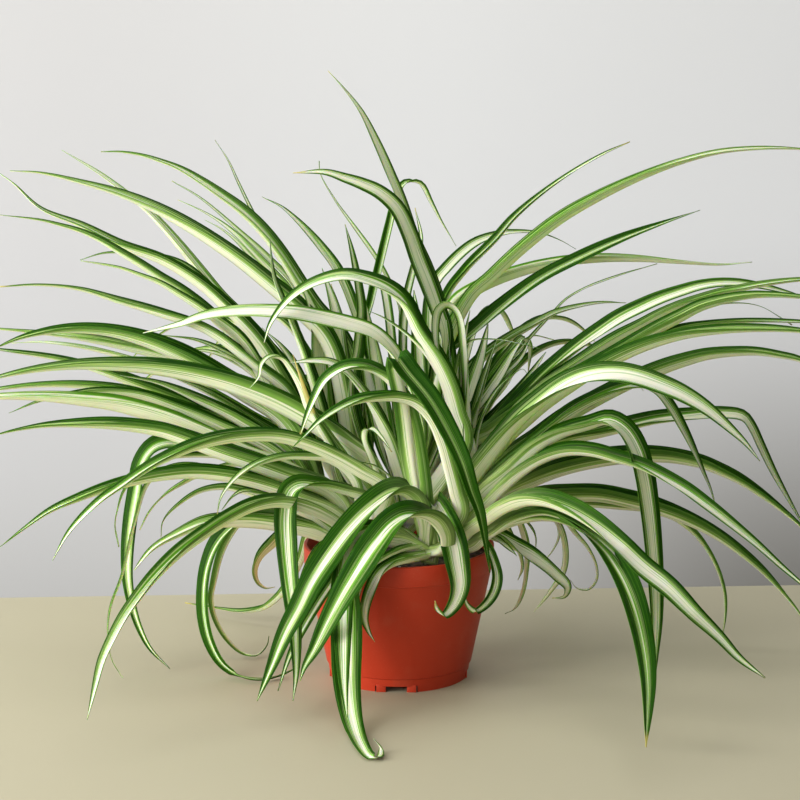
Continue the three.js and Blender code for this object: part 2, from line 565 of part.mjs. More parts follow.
function respaced(points, count) {
  const weights = [0];
  for (let i = 1; i < points.length; i += 1) {
    const step = points[i].distanceTo(points[i - 1]);
    let turn = 0;
    if (i < points.length - 1) {
      const before = points[i].clone().sub(points[i - 1]);
      turn = before.angleTo(points[i + 1].clone().sub(points[i]));
    }
    weights.push(weights[i - 1] + step + turn * turnWeight);
  }
  const total = weights[weights.length - 1];
  const result = [];
  let k = 1;
  for (let i = 0; i <= count; i += 1) {
    const goal = (total * i) / count;
    while (k < points.length - 1 && weights[k] < goal) k += 1;
    const f = (goal - weights[k - 1]) / (weights[k] - weights[k - 1]);
    const point = points[k - 1].clone().lerp(points[k], Math.min(1, Math.max(0, f)));
    result.push({ point, s: (k - 1 + f) / (points.length - 1) });
  }
  return result;
}

function smooth(a, b, x) {
  const t = Math.min(1, Math.max(0, (x - a) / (b - a)));
  return t * t * (3 - 2 * t);
}

function halfWidth(width, s) {
  const opening = rootWidth + (1 - rootWidth) * smooth(0, fullWidthAt, s);
  return (width / 2) * opening * (1 - s ** taperPower) ** taperRound;
}

// How steeply each half rises from the rib. A blade that is turned to the front opens sooner and flatter.
function foldAngle(facing, s) {
  const turned = Math.min(1, Math.abs(facing));
  const fall = foldAtTip - flatterWhenTurned * turned - foldAtRoot;
  const held = foldHeld * (1 - heldLessWhenTurned * turned);
  return (foldAtRoot + fall * smooth(held, 1 - earlierOpening * turned, s)) * degrees;
}

// How far a blade's upper face is turned to the front at s, as a share of its full turn
function facingShare(s) {
  return facingAtRoot + (1 - facingAtRoot) * smooth(facingFrom, facingTo, s);
}

// One blade: a folded strip, thick at the rib and thin at its two edges, drawn out to a point. A thin blade
// is three sided, flat above and keeled below.
function blade(points, width, facing) {
  const thin = width <= thinBlade;
  const most = thin ? thinBladeSegments : wideBladeSegments;
  const segments = Math.min(most, Math.round(leastSegments + bendOf(points) / bendPerSegment));
  const thickness = thin ? thinRibThickness : ribThickness;
  const rib = respaced(points, segments);
  const first = rib[0].point;
  const last = rib[segments].point;
  const outward = new THREE.Vector3(last.x - first.x, last.y - first.y, 0).normalize();
  const across = new THREE.Vector3(-outward.y, outward.x, 0);
  const pitch = eye.pitch * degrees;
  const front = new THREE.Vector3(0, -Math.cos(pitch), Math.sin(pitch));
  const positions = [];
  const put = (v, low) => positions.push(v.x, v.y, Math.max(v.z, low));
  for (let i = 0; i < segments; i += 1) {
    const { point, s } = rib[i];
    const before = rib[Math.max(0, i - 1)].point;
    const along = rib[i + 1].point.clone().sub(before).normalize();
    const side = across.clone().addScaledVector(along, -across.dot(along)).normalize();
    const up = along.clone().cross(side);
    const faced = front.clone().addScaledVector(along, -front.dot(along));
    up.addScaledVector(faced, facing * facingShare(s)).normalize();
    side.crossVectors(up, along);
    const half = halfWidth(width, s);
    const fold = foldAngle(facing, s);
    const lift = (half * Math.sin(fold)) / 2;
    const reach = half * Math.cos(fold);
    const keel = point.clone().addScaledVector(up, -lift);
    const edges = point.clone().addScaledVector(up, lift);
    put(edges.clone().addScaledVector(side, reach), lowestPoint + leastThickness);
    if (!thin) put(keel.clone().addScaledVector(up, thickness / 2), lowestPoint + thickness);
    put(edges.clone().addScaledVector(side, -reach), lowestPoint + leastThickness);
    put(keel.clone().addScaledVector(up, -thickness / 2), lowestPoint);
  }
  put(last, lowestPoint + leastThickness / 2);
  return solidFrom(positions, skinOf(thin ? 3 : 4, segments));
}

// Triangles between the rings of a blade, split alike on both faces, with its root closed and its tip a point
function skinOf(corners, rings) {
  const triangles = corners === 3 ? [0, 2, 1] : [0, 3, 1, 1, 3, 2];
  for (let i = 0; i < rings - 1; i += 1) {
    for (let k = 0; k < corners; k += 1) {
      const a = i * corners + k;
      const b = i * corners + ((k + 1) % corners);
      const [c, d] = [a + corners, b + corners];
      const leaning = corners === 4 ? k % 2 === 0 : true;
      if (leaning) triangles.push(a, b, d, a, d, c);
      else triangles.push(a, b, c, b, d, c);
    }
  }
  const end = (rings - 1) * corners;
  const tip = rings * corners;
  for (let k = 0; k < corners; k += 1) triangles.push(end + k, end + ((k + 1) % corners), tip);
  return triangles;
}

function core(x, y) {
  const side = coreProfile.map(([share, height]) => [share * coreRadius, soilTop + height]);
  const [bottom, top] = [side[0][1], side[side.length - 1][1]];
  return turned([[0, bottom], ...side, [0, top]], coreSides).translate(x, y, 0);
}

// A repeatable draw between 0 and 1
function makeDraw(seed) {
  let state = seed;
  return () => {
    state = (state * 1664525 + 1013904223) % 4294967296;
    return state / 4294967296;
  };
}

function fillerRibs() {
  const draw = makeDraw(fillerSeed);
  const between = ([low, high]) => low + (high - low) * draw();
  const ribs = [];
  for (const [crown, from, to, count] of fillers) {
    for (let i = 0; i < count; i += 1) {
      const place = i + (1 - filler.jitter) / 2 + filler.jitter * draw();
      const azimuth = (from + ((to - from) * place) / count) * degrees;
      const reach = between(filler.reach);
      const rise = between(filler.rise);
      const fall = rise - between(filler.tipRise);
      const width = between(filler.width);
      const [x, y] = crowns[crown];
      const points = [];
      for (let k = 0; k <= pathSteps; k += 1) {
        const s = k / pathSteps;
        const r = filler.start.out + reach * s ** filler.ease;
        const z = Math.max(bladeRest, soilTop + filler.start.up + rise * s - fall * s * s);
        points.push(new THREE.Vector3(x + r * Math.cos(azimuth), y + r * Math.sin(azimuth), z));
      }
      ribs.push({ crown, width, facing: 0, points });
    }
  }
  return ribs;
}

// Which way a leaf leaves its crown, seen from above, measured from straight back so that no fan is split
function azimuthOf([, crown, depth, , , flat]) {
  const [x, y] = crowns[crown];
  const tipDepth = Array.isArray(depth) ? depth[depth.length - 1] : depth;
  const tip = toSpace(flat.slice(-2), tipDepth);
  const front = y < 0 ? 1 : -1;
  return Math.atan2(front * (tip.x - x), -front * (tip.y - y));
}

function allBlades() {
  const traced = leaves.map(([name, crown, depth, width, facing, path]) => {
    const fellows = leaves.filter((row) => row[1] === crown).map((row) => [row[0], azimuthOf(row)]);
    fellows.sort((a, b) => a[1] - b[1]);
    const rank = fellows.findIndex((row) => row[0] === name);
    const turn = (2 * (rank + 0.5)) / fellows.length - 1;
    return { name, crown, width, facing, points: ribOf(crown, depth, path, turn) };
  });
  return [...traced, ...fillerRibs()];
}

function crownSolid(crown, blades) {
  let solid = core(...crowns[crown]);
  for (const { width, facing, points } of blades.filter((b) => b.crown === crown)) {
    solid = solid.add(blade(points, width, facing));
  }
  return mainBody(solid);
}

// The plant in its pot

const plant = new THREE.Group();

function place(name, solid, finish) {
  const mesh = new THREE.Mesh(geometryOf(solid), finish);
  mesh.name = name;
  plant.add(mesh);
}

place("pot", pot(), terracotta);
place("soil", soil(), potting);
const blades = allBlades();
for (const crown of Object.keys(crowns)) {
  place(`crown_${crown}`, crownSolid(crown, blades), foliage);
}

export default plant;
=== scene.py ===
import math
import random

import bmesh
import bpy
from mathutils import Matrix, Vector, noise


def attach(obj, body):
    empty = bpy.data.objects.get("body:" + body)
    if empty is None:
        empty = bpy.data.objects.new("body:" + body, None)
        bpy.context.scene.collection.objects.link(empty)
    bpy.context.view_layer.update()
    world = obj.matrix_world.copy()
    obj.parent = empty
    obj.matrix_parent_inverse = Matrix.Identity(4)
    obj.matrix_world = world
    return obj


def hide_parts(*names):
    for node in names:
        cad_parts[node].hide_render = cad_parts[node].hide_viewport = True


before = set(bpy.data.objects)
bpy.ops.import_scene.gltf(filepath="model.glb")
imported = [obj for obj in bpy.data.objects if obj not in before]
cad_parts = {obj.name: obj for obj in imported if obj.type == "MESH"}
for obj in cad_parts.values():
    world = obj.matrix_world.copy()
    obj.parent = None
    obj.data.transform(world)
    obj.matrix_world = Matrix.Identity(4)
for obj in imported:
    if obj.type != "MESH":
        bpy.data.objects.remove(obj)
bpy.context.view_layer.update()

# Sizes are in millimetres, and MM takes them to the frame's metres
MM = 0.001

# The pot
POT_HEIGHT = 107
RIM_RADIUS = 76
RIM_BAND = 16
RIM_PROUD = 1.2
RIM_WIDTH = 2.6
WALL_BELOW_RIM = 74.6
BASE_RADIUS = 56
WALL = 1.6
DRAFT = 0.8
EASING = 0.6
SKIRT_HEIGHT = 5.5
SKIRT_STEP = 1.5
SKIRT_STEP_HEIGHT = 11
FLOOR_THICKNESS = 2
FLOOR_CORNER = 4
CENTRE_FOOT_RADIUS = 7
NOTCH_COUNT = 4
NOTCH_WIDTH = 33.4
NOTCH_HEIGHT = 5
NOTCH_DEPTH = 14
NOTCH_TURN = -2.2
FOOT_WIDTH = 7.4
FOOT_OFFSET = 12
FOOT_SETBACK = 1
DRAIN_HOLE_RADIUS = 4
DRAIN_HOLE_CIRCLE = 40
POT_SIDES = 160
DRAIN_HOLE_SIDES = 24
CUT_PAST = 1
WALL_BEVEL = 0.35
FOOT_BEVEL = 0.25

# The soil
SOIL_TOP = 97
SOIL_DOME = 1.5
SOIL_SIDES = 96
SOIL_RINGS = 22
SOIL_EDGE = 1
GAP = 0.3

# The soil's top is uneven: broad heaps and smaller lumps, each a height and how many there are to a metre
HEAP_HEIGHT = 2.2
HEAP_COUNT = 90
LUMP_HEIGHT = 0.9
LUMP_COUNT = 360

# Loose pieces on the soil: a seed, how many, the smallest and largest radius, and how finely each is made
CRUMBS = (5, 420, 0.7, 2.4, 1)
PERLITE = (8, 46, 0.8, 1.9, 2)
LOOSE_MARGIN = 4
LOOSE_ROUGHNESS = (0.72, 1.12)
LOOSE_DEPTH = (0.6, 1)
LOOSE_HEIGHT = (0.5, 0.8)
LOOSE_LIFT = (0, 0.4)

# Crowns, each with the middle of its base on the soil
CROWNS = {
    "back_left": (-30, 42),
    "left_back": (-55, 19),
    "left": (-54, -9),
    "front_left": (-30, -37),
    "front": (20, -46),
    "centre": (0, -4),
    "back": (3, 34),
    "back_right": (33, 45),
    "right_back": (57, 19),
    "right": (58, -8),
    "front_right": (46, -34),
}

# The eye that the leaf paths were read from, which is also where the camera stands
EYE_SIDE = 0.8
EYE_AWAY = 1930
EYE_HEIGHT = 616
EYE_PITCH = math.radians(11.5)
EYE_FOCAL = 2494
PICTURE_SIZE = 800
PICTURE_MIDDLE = PICTURE_SIZE / 2

# The leaves of each crown. Each row: name, depth of the tip behind the pot's axis, or depths at even steps
# up to the tip, width, how far the blade turns its upper face to the front, then the path from crown to tip
# as columns and rows of the picture.
LEAVES = {"back_left": [
    ["a1", 175, 29, 0.1, [345,350, 312,304, 280,254, 260,229, 240,210, 220,195, 200,181, 180,169, 160,161,
     140,155, 120,152, 101,152]],
    ["a2", 124, 24, 0.1, [275,358, 245,322, 220,297, 200,272, 180,247, 160,224, 145,209, 130,197, 100,174,
     62,150]],
    ["a3", 73, 34, 0.12, [330,345, 300,310, 270,284, 240,260, 200,233, 160,211, 120,194, 80,182, 40,173,
     10,171]],
    ["a9", 226, 13, 0.12, [300,297, 268,258, 240,232, 200,198, 172,181]],
    ["a10", 260, 17, 0.1, [315,330, 290,292, 268,268, 250,249, 235,234, 220,222, 200,210, 178,200]],
    ["a11", 245, 14, 0.1, [320,345, 295,305, 268,274, 250,256, 235,240, 220,228, 205,220]],
    ["a12", 209, 8, 0.5, [325,345, 312,305, 300,287, 268,241, 250,207, 238,182, 228,160, 215,140]],
    ["b5", 141, 24, 0.1, [365,345, 355,315, 345,288, 335,268, 320,247, 305,229, 290,214, 280,206, 262,197]],
    ["a4", 80, 27, 0.1, [262,345, 225,305, 200,283, 162,260, 120,245, 80,225, 40,208, 13,183, -3,172]],
    ["a6", 90, 18, 0.1, [262,350, 225,306, 205,282, 185,265, 165,257, 140,254, 105,253, 80,260]],
    ["e21", 165, 16, 0.1, [350,512, 332,508, 312,528, 300,562, 285,589, 275,600, 262,608, 242,611, 217,608,
     185,603]],
    ["n4", 60, 34, 0.5, [345,500, 330,440, 322,400, 318,350, 315,318, 300,280]],
    ["n13", 95, 18, 0.2, [330,450, 312,405, 296,368, 280,345, 262,328]],
    ["n5", 85, 24, 0.5, [352,480, 347,440, 345,400, 340,350, 335,310, 322,268]],
    ["n10", 110, 19, 0.2, [370,470, 356,410, 346,350, 337,305, 331,284]],
    ["n7", 70, 20, 0.2, [350,480, 330,430, 315,390, 303,350, 296,318]],
], "left_back": [
    ["a5", 22, 23, 0.1, [245,345, 220,322, 200,304, 180,289, 160,277, 140,264, 120,252, 100,240, 80,231,
     60,225, 40,220, 0,215]],
    ["a7", 4, 22, 0.1, [245,345, 200,308, 180,295, 160,283, 140,275, 120,268, 100,264, 81,261]],
    ["a8", -13, 22, 0.1, [290,395, 260,368, 240,352, 220,337, 200,326, 160,313, 120,301, 80,289, 40,285,
     0,287]],
    ["e2", 55, 26, 0.1, [270,408, 230,381, 175,359, 120,345, 70,336, 32,332, 0,329, -30,327]],
    ["e2b", 45, 16, 0.1, [300,447, 250,414, 200,387, 160,369, 120,356, 80,347, 40,342, 12,343]],
    ["ld", 21, 28, 0.1, [300,470, 250,437, 220,422, 180,402, 140,385, 100,370, 60,359, 0,350, -20,347]],
    ["lh", 55, 18, 0.1, [300,420, 258,378, 240,365, 210,352, 175,350]],
    ["li", 35, 20, 0.1, [300,415, 258,377, 240,362, 200,341, 160,335]],
    ["e12", 55, 12, 0.1, [300,455, 240,425, 200,422, 165,428, 145,447, 136,462]],
    ["e20", 38, 14, 0.1, [335,525, 290,512, 262,512, 245,517, 235,527, 222,550, 214,580, 211,600, 216,620,
     228,640, 243,653, 257,655, 267,645, 269,636]],
    ["e22", 21, 24, 0.1, [335,525, 312,520, 290,528, 272,543, 259,557, 255,570, 258,582, 266,588, 275,587]],
    ["e18", 60, 14, 0.1, [300,470, 250,462, 210,470, 185,482, 163,496, 150,511, 140,530]],
], "left": [
    ["e3", 10, 39, 0.09, [290,425, 245,392, 220,377, 200,365, 180,354, 160,345, 140,338, 120,333, 100,330,
     80,329, 60,330, 40,333, 20,338, 0,346, -15,354]],
    ["e5", -36, 24, 0.07, [280,455, 220,425, 180,408, 140,394, 100,391, 80,393, 40,401, 9,413]],
    ["e6", -6, 24, 0.1, [290,455, 240,427, 190,410, 150,398, 120,390, 80,385, 40,385, 0,389, -45,396]],
    ["e7", -62, 36, 0.09, [310,484, 240,450, 200,432, 160,416, 120,405, 80,400, 40,397, 0,397, -60,401]],
    ["lb", -23, 27, 0.1, [290,455, 240,420, 200,400, 160,383, 120,375]],
    ["lc", -4, 26, 0.1, [300,455, 260,425, 230,405, 200,388, 175,378]],
    ["e10", -10, 26, 1.2, [320,505, 280,470, 235,450, 185,443, 165,442, 151,448, 140,465, 136,490, 131,520,
     128,550, 128,578, 132,603, 139,626, 150,648, 170,669]],
    ["e11", 16, 12, 0.07, [300,490, 240,460, 190,455, 150,463, 125,489, 118,507, 115,525, 119,547]],
    ["e11b", -23, 9, 0.07, [300,500, 240,475, 180,465, 150,480, 135,520, 122,575, 110,610, 108,638, 112,660,
     123,678]],
    ["e19", -20, 19, 1.0, [335,530, 290,516, 262,515, 240,520, 226,530, 214,546, 206,568, 203,592, 204,618,
     210,643, 222,664, 240,676, 262,679, 280,675, 298,667]],
], "front_left": [
    ["e8", -76, 33, 0.1, [335,495, 280,472, 220,451, 180,436, 160,430, 120,425, 80,424, 40,426, 0,434,
     -10,438]],
    ["l1", -93, 28, 0.12, [340,515, 300,496, 260,482, 220,474, 190,472, 160,475, 140,479, 110,487, 80,498,
     50,511, 25,528, 0,547]],
    ["l2", -161, 26, 0.16, [385,490, 360,470, 320,448, 280,436, 240,436, 200,444, 160,461, 140,473, 120,487,
     100,501, 70,531, 52,561]],
    ["e13", -229, 24, 0.12, [347,533, 332,520, 306,507, 281,501, 255,505, 230,517, 204,534, 179,553,
     155,577, 138,598, 124,618, 110,644, 102,662, 96,684, 91,704, 87,720]],
    ["e14", -76, 30, 0.16, [350,545, 332,538, 306,529, 281,524, 255,521, 230,521, 204,524, 179,534, 153,549,
     134,570]],
    ["e15", -8, 17, 0.14, [320,520, 262,497, 242,490, 222,487, 200,491, 179,504, 163,521, 161,537]],
    ["e16", -76, 17, 0.14, [355,480, 330,459, 306,456, 281,457, 255,465, 235,479, 221,498, 217,516]],
    ["e17", -42, 18, 0.1, [320,520, 285,500, 258,493, 243,491, 232,497, 222,510]],
    ["e23", -128, 22, 1.0, [375,515, 362,496, 340,488, 318,483, 300,484, 290,492, 286,515, 287,545, 290,580,
     294,615, 296,645, 296,675, 293,701]],
    ["e24", -84, 16, 0.5, [362,540, 342,538, 322,549, 309,570, 302,600, 299,630]],
], "front": [
    ["al", -145, 29, 1.0, [425,530, 421,508, 414,495, 402,488, 390,491, 370,506, 348,530, 329,556, 312,582,
     299,608, 286,632, 271,668, 257,701]],
    ["be", [-100, -135, -150, -160], 29, 1.0, [442,550, 445,535, 437,520, 424,512, 408,512, 392,522,
     376,542, 360,566, 343,594, 328,622, 314,650, 304,668, 300,681]],
    ["ka", -116, 14, 0.8, [400,540, 375,535, 352,555, 330,585, 305,625, 290,655, 278,691]],
    ["ga", [-70, -105, -160, -218], 21, 0.9, [390,530, 365,528, 350,545, 344,570, 343,595, 343,625, 343,655,
     344,685, 347,718]],
    ["e27", [-78, -98, -140, -205], 32, 0.8, [395,540, 368,540, 350,558, 346,585, 347,615, 347,645, 347,675,
     349,700, 353,722, 360,742, 370,756, 379,757, 381,749, 374,739]],
    ["de", [-76, -84, -84, -78], 18, 0.5, [430,554, 418,557, 405,559, 393,563, 381,572, 373,586, 367,602,
     365,618, 369,632, 375,642]],
    ["de2", [-72, -82, -84, -82], 11, 0.14, [424,546, 405,548, 388,555, 373,566, 364,580, 358,600]],
    ["p2", -62, 15, 0.3, [425,552, 404,543, 384,541, 364,547, 350,558]],
    ["ep", -95, 26, 0.9, [428,530, 430,515, 434,502, 445,520, 453,541, 457,560, 460,587, 454,605, 444,615,
     437,609, 435,601]],
    ["f1", [-60, -80, -114, -118], 23, 0.9, [412,470, 404,400, 396,356, 409,372, 430,398, 447,427, 462,459,
     472,490, 480,512, 485,537, 490,573]],
    ["f2", -82, 30, 0.3, [430,560, 424,512, 418,455, 411,418, 403,395, 388,377, 368,367, 346,367, 326,379,
     313,402, 298,441]],
    ["f3", -108, 26, 0.1, [459,514, 455,490, 449,465, 442,440, 432,418, 416,402, 400,397, 380,397, 360,400,
     340,408, 320,421, 304,437, 291,449]],
    ["p1", -57, 9, 0.1, [440,554, 420,540, 402,528, 378,524]],
], "centre": [
    ["e1", -10, 26, 0.9, [420,430, 410,390, 398,360, 385,343, 370,332, 345,324, 320,318, 300,314, 280,312,
     250,311, 220,313, 200,317, 180,324, 160,329, 143,333]],
    ["f5", -30, 28, 0.5, [412,520, 404,485, 396,460, 386,432, 373,406, 358,385, 345,371, 330,363, 310,361,
     289,363]],
    ["f6", -60, 20, 0.1, [360,480, 330,440, 308,406, 302,390, 291,370, 281,358, 270,357, 262,364, 259,377,
     250,388]],
    ["f7", -55, 15, 0.1, [350,480, 330,445, 312,412, 293,355]],
    ["f8", 20, 22, 0.14, [345,490, 332,450, 323,415, 313,380, 303,350, 293,325, 274,277, 271,255, 270,238]],
    ["f10", -10, 17, 0.14, [460,480, 455,440, 450,405, 441,378, 427,355, 409,336, 384,318, 367,310]],
    ["b6", -20, 36, 0.5, [463,440, 457,410, 450,385, 438,359, 420,332, 405,303, 390,290, 370,281, 345,276,
     320,281, 300,291, 285,304, 270,325, 264,343]],
    ["b7", 30, 19, 0.5, [352,400, 358,345, 361,310, 358,285, 354,262, 350,243, 345,224]],
    ["c8", -10, 24, 0.8, [469,460, 467,428, 466,389, 465,351, 461,319, 455,308, 446,304, 438,310, 435,328,
     437,350, 441,372]],
    ["h4", 0, 4, 0.07, [452,400, 450,357, 446,320]],
    ["h11", 4, 6, 0.14, [458,400, 462,352, 471,341, 489,339, 508,341, 541,349]],
    ["n8", -50, 9, 0.8, [390,520, 376,470, 364,438, 366,430, 373,429, 382,438, 392,452]],
    ["n9", -55, 6, 0.1, [400,520, 392,480, 375,466, 360,462]],
    ["n6", 34, 24, 0.2, [400,500, 392,460, 385,420, 378,380, 372,340, 366,303]],
    ["e4", -49, 40, 0.07, [370,465, 345,443, 320,425, 280,402, 240,386, 200,375, 160,368, 120,365, 80,365,
     40,369, 0,377, -30,386]],
], "back": [
    ["b1", 60, 22, 0.35, [450,400, 439,310, 427,270, 412,235, 400,200, 391,178, 375,140, 360,110, 340,84,
     328,71]],
    ["b2", -12, 27, 2.0, [445,340, 437,310, 428,285, 418,260, 408,232, 396,208, 380,193, 362,184, 345,178,
     325,172, 293,173]],
    ["b3", 107, 17, 0.07, [366,330, 372,300, 378,275, 384,250, 390,225, 396,200, 403,184, 412,180.5,
     421,184, 431,202, 441,221, 450,236, 456,246]],
    ["b4", 146, 9, 0.1, [400,310, 388,280, 375,257, 355,228, 335,200, 320,173, 319,161]],
    ["b8", 120, 15, 0.1, [405,310, 413,270, 421,240, 415,208]],
    ["m4", 12, 30, 0.1, [440,440, 455,390, 462,350, 470,310]],
    ["n11", 66, 27, 0.2, [425,490, 424,430, 421,380, 418,335, 414,290]],
    ["n12", 60, 25, 1.2, [404,495, 394,470, 384,440, 376,410, 368,375, 360,345]],
], "back_right": [
    ["c1", 133, 18, 0.12, [440,400, 445,300, 465,270, 495,240, 515,217, 545,191, 575,170, 605,153,
     630,142]],
    ["c2", 101, 25, 0.12, [440,370, 470,297, 490,278, 520,250, 560,219, 600,196, 640,177, 680,162, 720,152,
     760,148.5, 797,149, 830,152]],
    ["c3", 181, 19, 0.5, [433,290, 448,267, 475,243, 500,234, 515,232, 540,233, 560,240, 576,249]],
    ["c4", 93, 23, 0.8, [440,360, 461,341, 480,325, 500,308, 540,278, 580,257, 620,239, 660,224, 700,210]],
    ["c5", 117, 27, 0.03, [440,350, 455,305, 480,287, 520,271, 560,262, 600,258.5, 640,259, 680,262,
     720,264.5, 752,262]],
    ["c6", 197, 7, 0.14, [480,400, 520,350, 553,313, 565,300, 585,288, 620,275, 657,264]],
    ["c7", 149, 22, 0.14, [454,388, 470,370, 490,352, 512,337, 533,325, 555,313, 580,306, 605,302.5,
     626,303]],
    ["d8", 213, 7, 0.1, [480,420, 510,380, 522,345, 532,336, 550,339, 567,345]],
    ["m1", 60, 34, 0.4, [462,440, 472,390, 482,355, 488,324]],
    ["m2", 90, 30, 0.14, [470,430, 490,385, 510,355, 524,338, 529,345, 528,375]],
    ["m3", 75, 30, 0.14, [468,440, 486,400, 508,372, 522,356, 531,338]],
    ["m5", 50, 30, 0.5, [455,440, 478,408, 500,376, 514,352, 525,336]],
    ["m6", 30, 32, 0.5, [462,450, 474,412, 484,380, 492,354, 497,340]],
    ["m7", 58, 30, 0.2, [470,448, 490,424, 510,402, 530,376, 546,352]],
], "right_back": [
    ["d1", 66, 26, 0.7, [490,440, 534,385, 560,361, 580,345, 600,331, 620,318, 640,308, 660,299, 680,292,
     700,286, 720,283, 740,283, 760,286, 785,292, 812,300]],
    ["d2", 36, 24, 0.14, [500,430, 540,388, 570,368, 600,348, 620,336, 640,326, 660,315, 680,306, 700,299,
     720,293, 740,289, 760,285, 800,280, 870,279]],
    ["d3", 6, 30, 0.14, [462,450, 490,430, 520,408, 560,385, 600,362, 640,338, 660,327, 680,317, 700,307,
     720,301, 740,297, 760,295, 800,297, 868,308]],
    ["d5", 13, 20, 0.14, [500,440, 560,388, 600,366, 640,345, 680,329, 700,325, 740,321, 800,322, 850,326]],
    ["d7", 96, 7, 0.14, [500,430, 560,370, 620,335, 680,312, 735,303, 760,306, 780,317, 792,325]],
    ["g3", 50, 33, 0.14, [500,513, 520,503, 540,497, 570,494, 600,494, 630,500, 660,508, 693,521, 720,536,
     745,555, 770,578, 800,614, 808,629]],
    ["g9", 80, 20, 0.1, [510,520, 560,503, 620,505, 665,512, 690,528, 705,545, 717,567, 724,592, 725,615,
     723,634]],
    ["e32", 165, 12, 0.1, [480,520, 500,508, 540,505, 558,525, 565,550, 563,572, 550,592, 534,612]],
    ["e33", 120, 6, 0.1, [500,512, 535,505, 553,515, 559,535, 553,550, 545,560]],
    ["e34", 60, 9, 0.1, [500,515, 535,503, 560,515, 575,533, 588,548, 596,565, 596,580, 588,589, 577,588,
     570,580]],
    ["e35", 40, 12, 0.1, [480,525, 500,512, 515,515, 522,530, 526,550, 526,570, 522,592, 515,608, 505,614]],
    ["e36", 60, 11, 0.1, [480,522, 493,515, 503,522, 510,535, 518,550, 522,568, 518,580]],
    ["e37", 30, 9, 0.3, [480,520, 500,508, 515,510, 527,522, 535,535, 536,547]],
], "right": [
    ["d4", -24, 28, 0.14, [490,460, 534,412, 575,382, 600,366, 640,347, 680,335, 720,330, 760,329, 800,331,
     870,341]],
    ["d6", -11, 31, 0.1, [490,475, 538,437, 563,418, 590,402, 619,387, 645,375, 665,367, 680,362, 706,355,
     735,352, 757,352, 783,356, 800,360, 860,392]],
    ["h8", 9, 9, 0.14, [478,430, 494,394, 508,379, 523,369, 528,375]],
    ["g4", 15, 33, 0.14, [500,497, 530,480, 560,468, 600,459, 640,455, 670,456, 700,462, 720,470, 740,480,
     760,493, 780,508, 800,525, 830,556]],
    ["g5", -24, 27, 0.6, [490,488, 530,453, 570,438, 600,432, 627,426, 655,420, 693,416, 724,414, 743,417,
     751,427, 760,446, 773,473, 793,508, 810,536]],
], "front_right": [
    ["g7", -88, 36, 0.8, [455,510, 470,480, 490,452, 515,422, 540,401, 560,387, 580,378, 600,374, 620,374,
     640,378, 660,385, 681,394, 706,409, 730,429, 745,443, 760,461]],
    ["g6", -73, 25, 0.5, [480,490, 500,470, 540,436, 570,412, 600,396, 625,387, 643,385, 658,392, 670,407,
     682,428, 693,450, 703,472, 711,490, 716,507]],
    ["g1", -126, 28, 0.8, [470,510, 485,490, 510,469, 535,446, 560,432, 585,425, 607,420, 624,430, 636,450,
     643,475, 648,505, 652,540, 655,580, 656,620, 654,660, 652,704]],
    ["g2a", -148, 24, 0.5, [475,515, 484,506, 515,475, 540,458, 566,450, 591,451, 617,458, 642,466, 681,487,
     706,505, 732,525, 757,545, 783,568, 815,595]],
    ["g2b", [-100, -160, -185, -193], 29, 0.7, [466,533, 484,520, 502,507, 522,499, 543,499, 566,507,
     591,522, 617,543, 642,567, 668,588, 693,613, 719,637, 739,658, 765,678]],
    ["g2c", [-60, -110, -190, -283], 28, 0.7, [475,545, 488,533, 510,520, 535,514, 558,516, 584,528,
     604,546, 620,570, 631,594, 639,620, 645,650, 648,680, 648,706, 646,747]],
    ["g2d", -163, 13, 0.5, [490,535, 515,518, 545,512, 573,522, 599,538, 619,558, 635,589, 645,617, 651,650,
     651,690]],
    ["h1", -30, 26, 0.8, [465,540, 480,531, 500,537, 520,549, 540,562, 556,575, 567,587, 564,596, 552,598]],
    ["e31", -45, 12, 0.5, [462,550, 468,545, 480,538, 492,537, 505,545, 517,556]],
    ["e40", -62, 13, 0.6, [470,545, 480,540, 488,548, 494,562, 497,578, 493,594, 484,606, 475,611, 467,604,
     464,592]],
]}

# Leaves whose cream band is wider or narrower than most, as a share of half the blade, with none below 0
CREAM_SHARE = {
    "a2": 0.75, "a3": 0.6, "a11": 0.7, "al": 0.19, "b1": 0.6, "b2": 0.5, "b3": 0.25, "b7": 0.3, "be": 0.2,
    "c1": 0.4, "c2": 0.7, "c4": 0.12, "c5": 0.85, "c8": 0.6, "d1": 0.4, "de": 0.5, "e1": 0.72, "e2b": 0.8,
    # e19's cream band is kept narrow partly as painted shade, so that the leaf reads dark where its upper
    # face lies in shade
    "e7": 0.8, "e10": 0.26, "e13": 0.5, "e19": 0.1, "e20": 0.25, "e23": 0.28, "e27": 0.34, "e40": 0.25,
    "ep": 0.38, "f1": -0.12, "f2": 0.32, "f3": 0.4, "f5": 0.6, "f6": 0.6, "g1": 0.42, "g2a": 0.42,
    "g2b": 0.45, "g2c": 0.06, "g2d": 0.2, "g3": 0.32, "g4": 0.3, "g5": 0.45, "g7": 0.55, "g9": 0.2,
    "ga": 0.3, "ka": 0.26, "n4": 0.65, "n5": 0.6,
}
CREAM_USUAL = (0.4, 0.62)

# Where along a leaf its dry end begins, with none past 1, and the one leaf that has dried further back
DRY_USUAL = (0.955, 1.05)
DRY_FROM = {"f7": 0.7}
DRY_SOFTNESS = 0.03
DRY_STRENGTH = 0.85

# The leaf that has snapped over is pale up to the snap
PALE_UP_TO = {"f1": 0.43}
SNAPPED_CREAM = 0.4

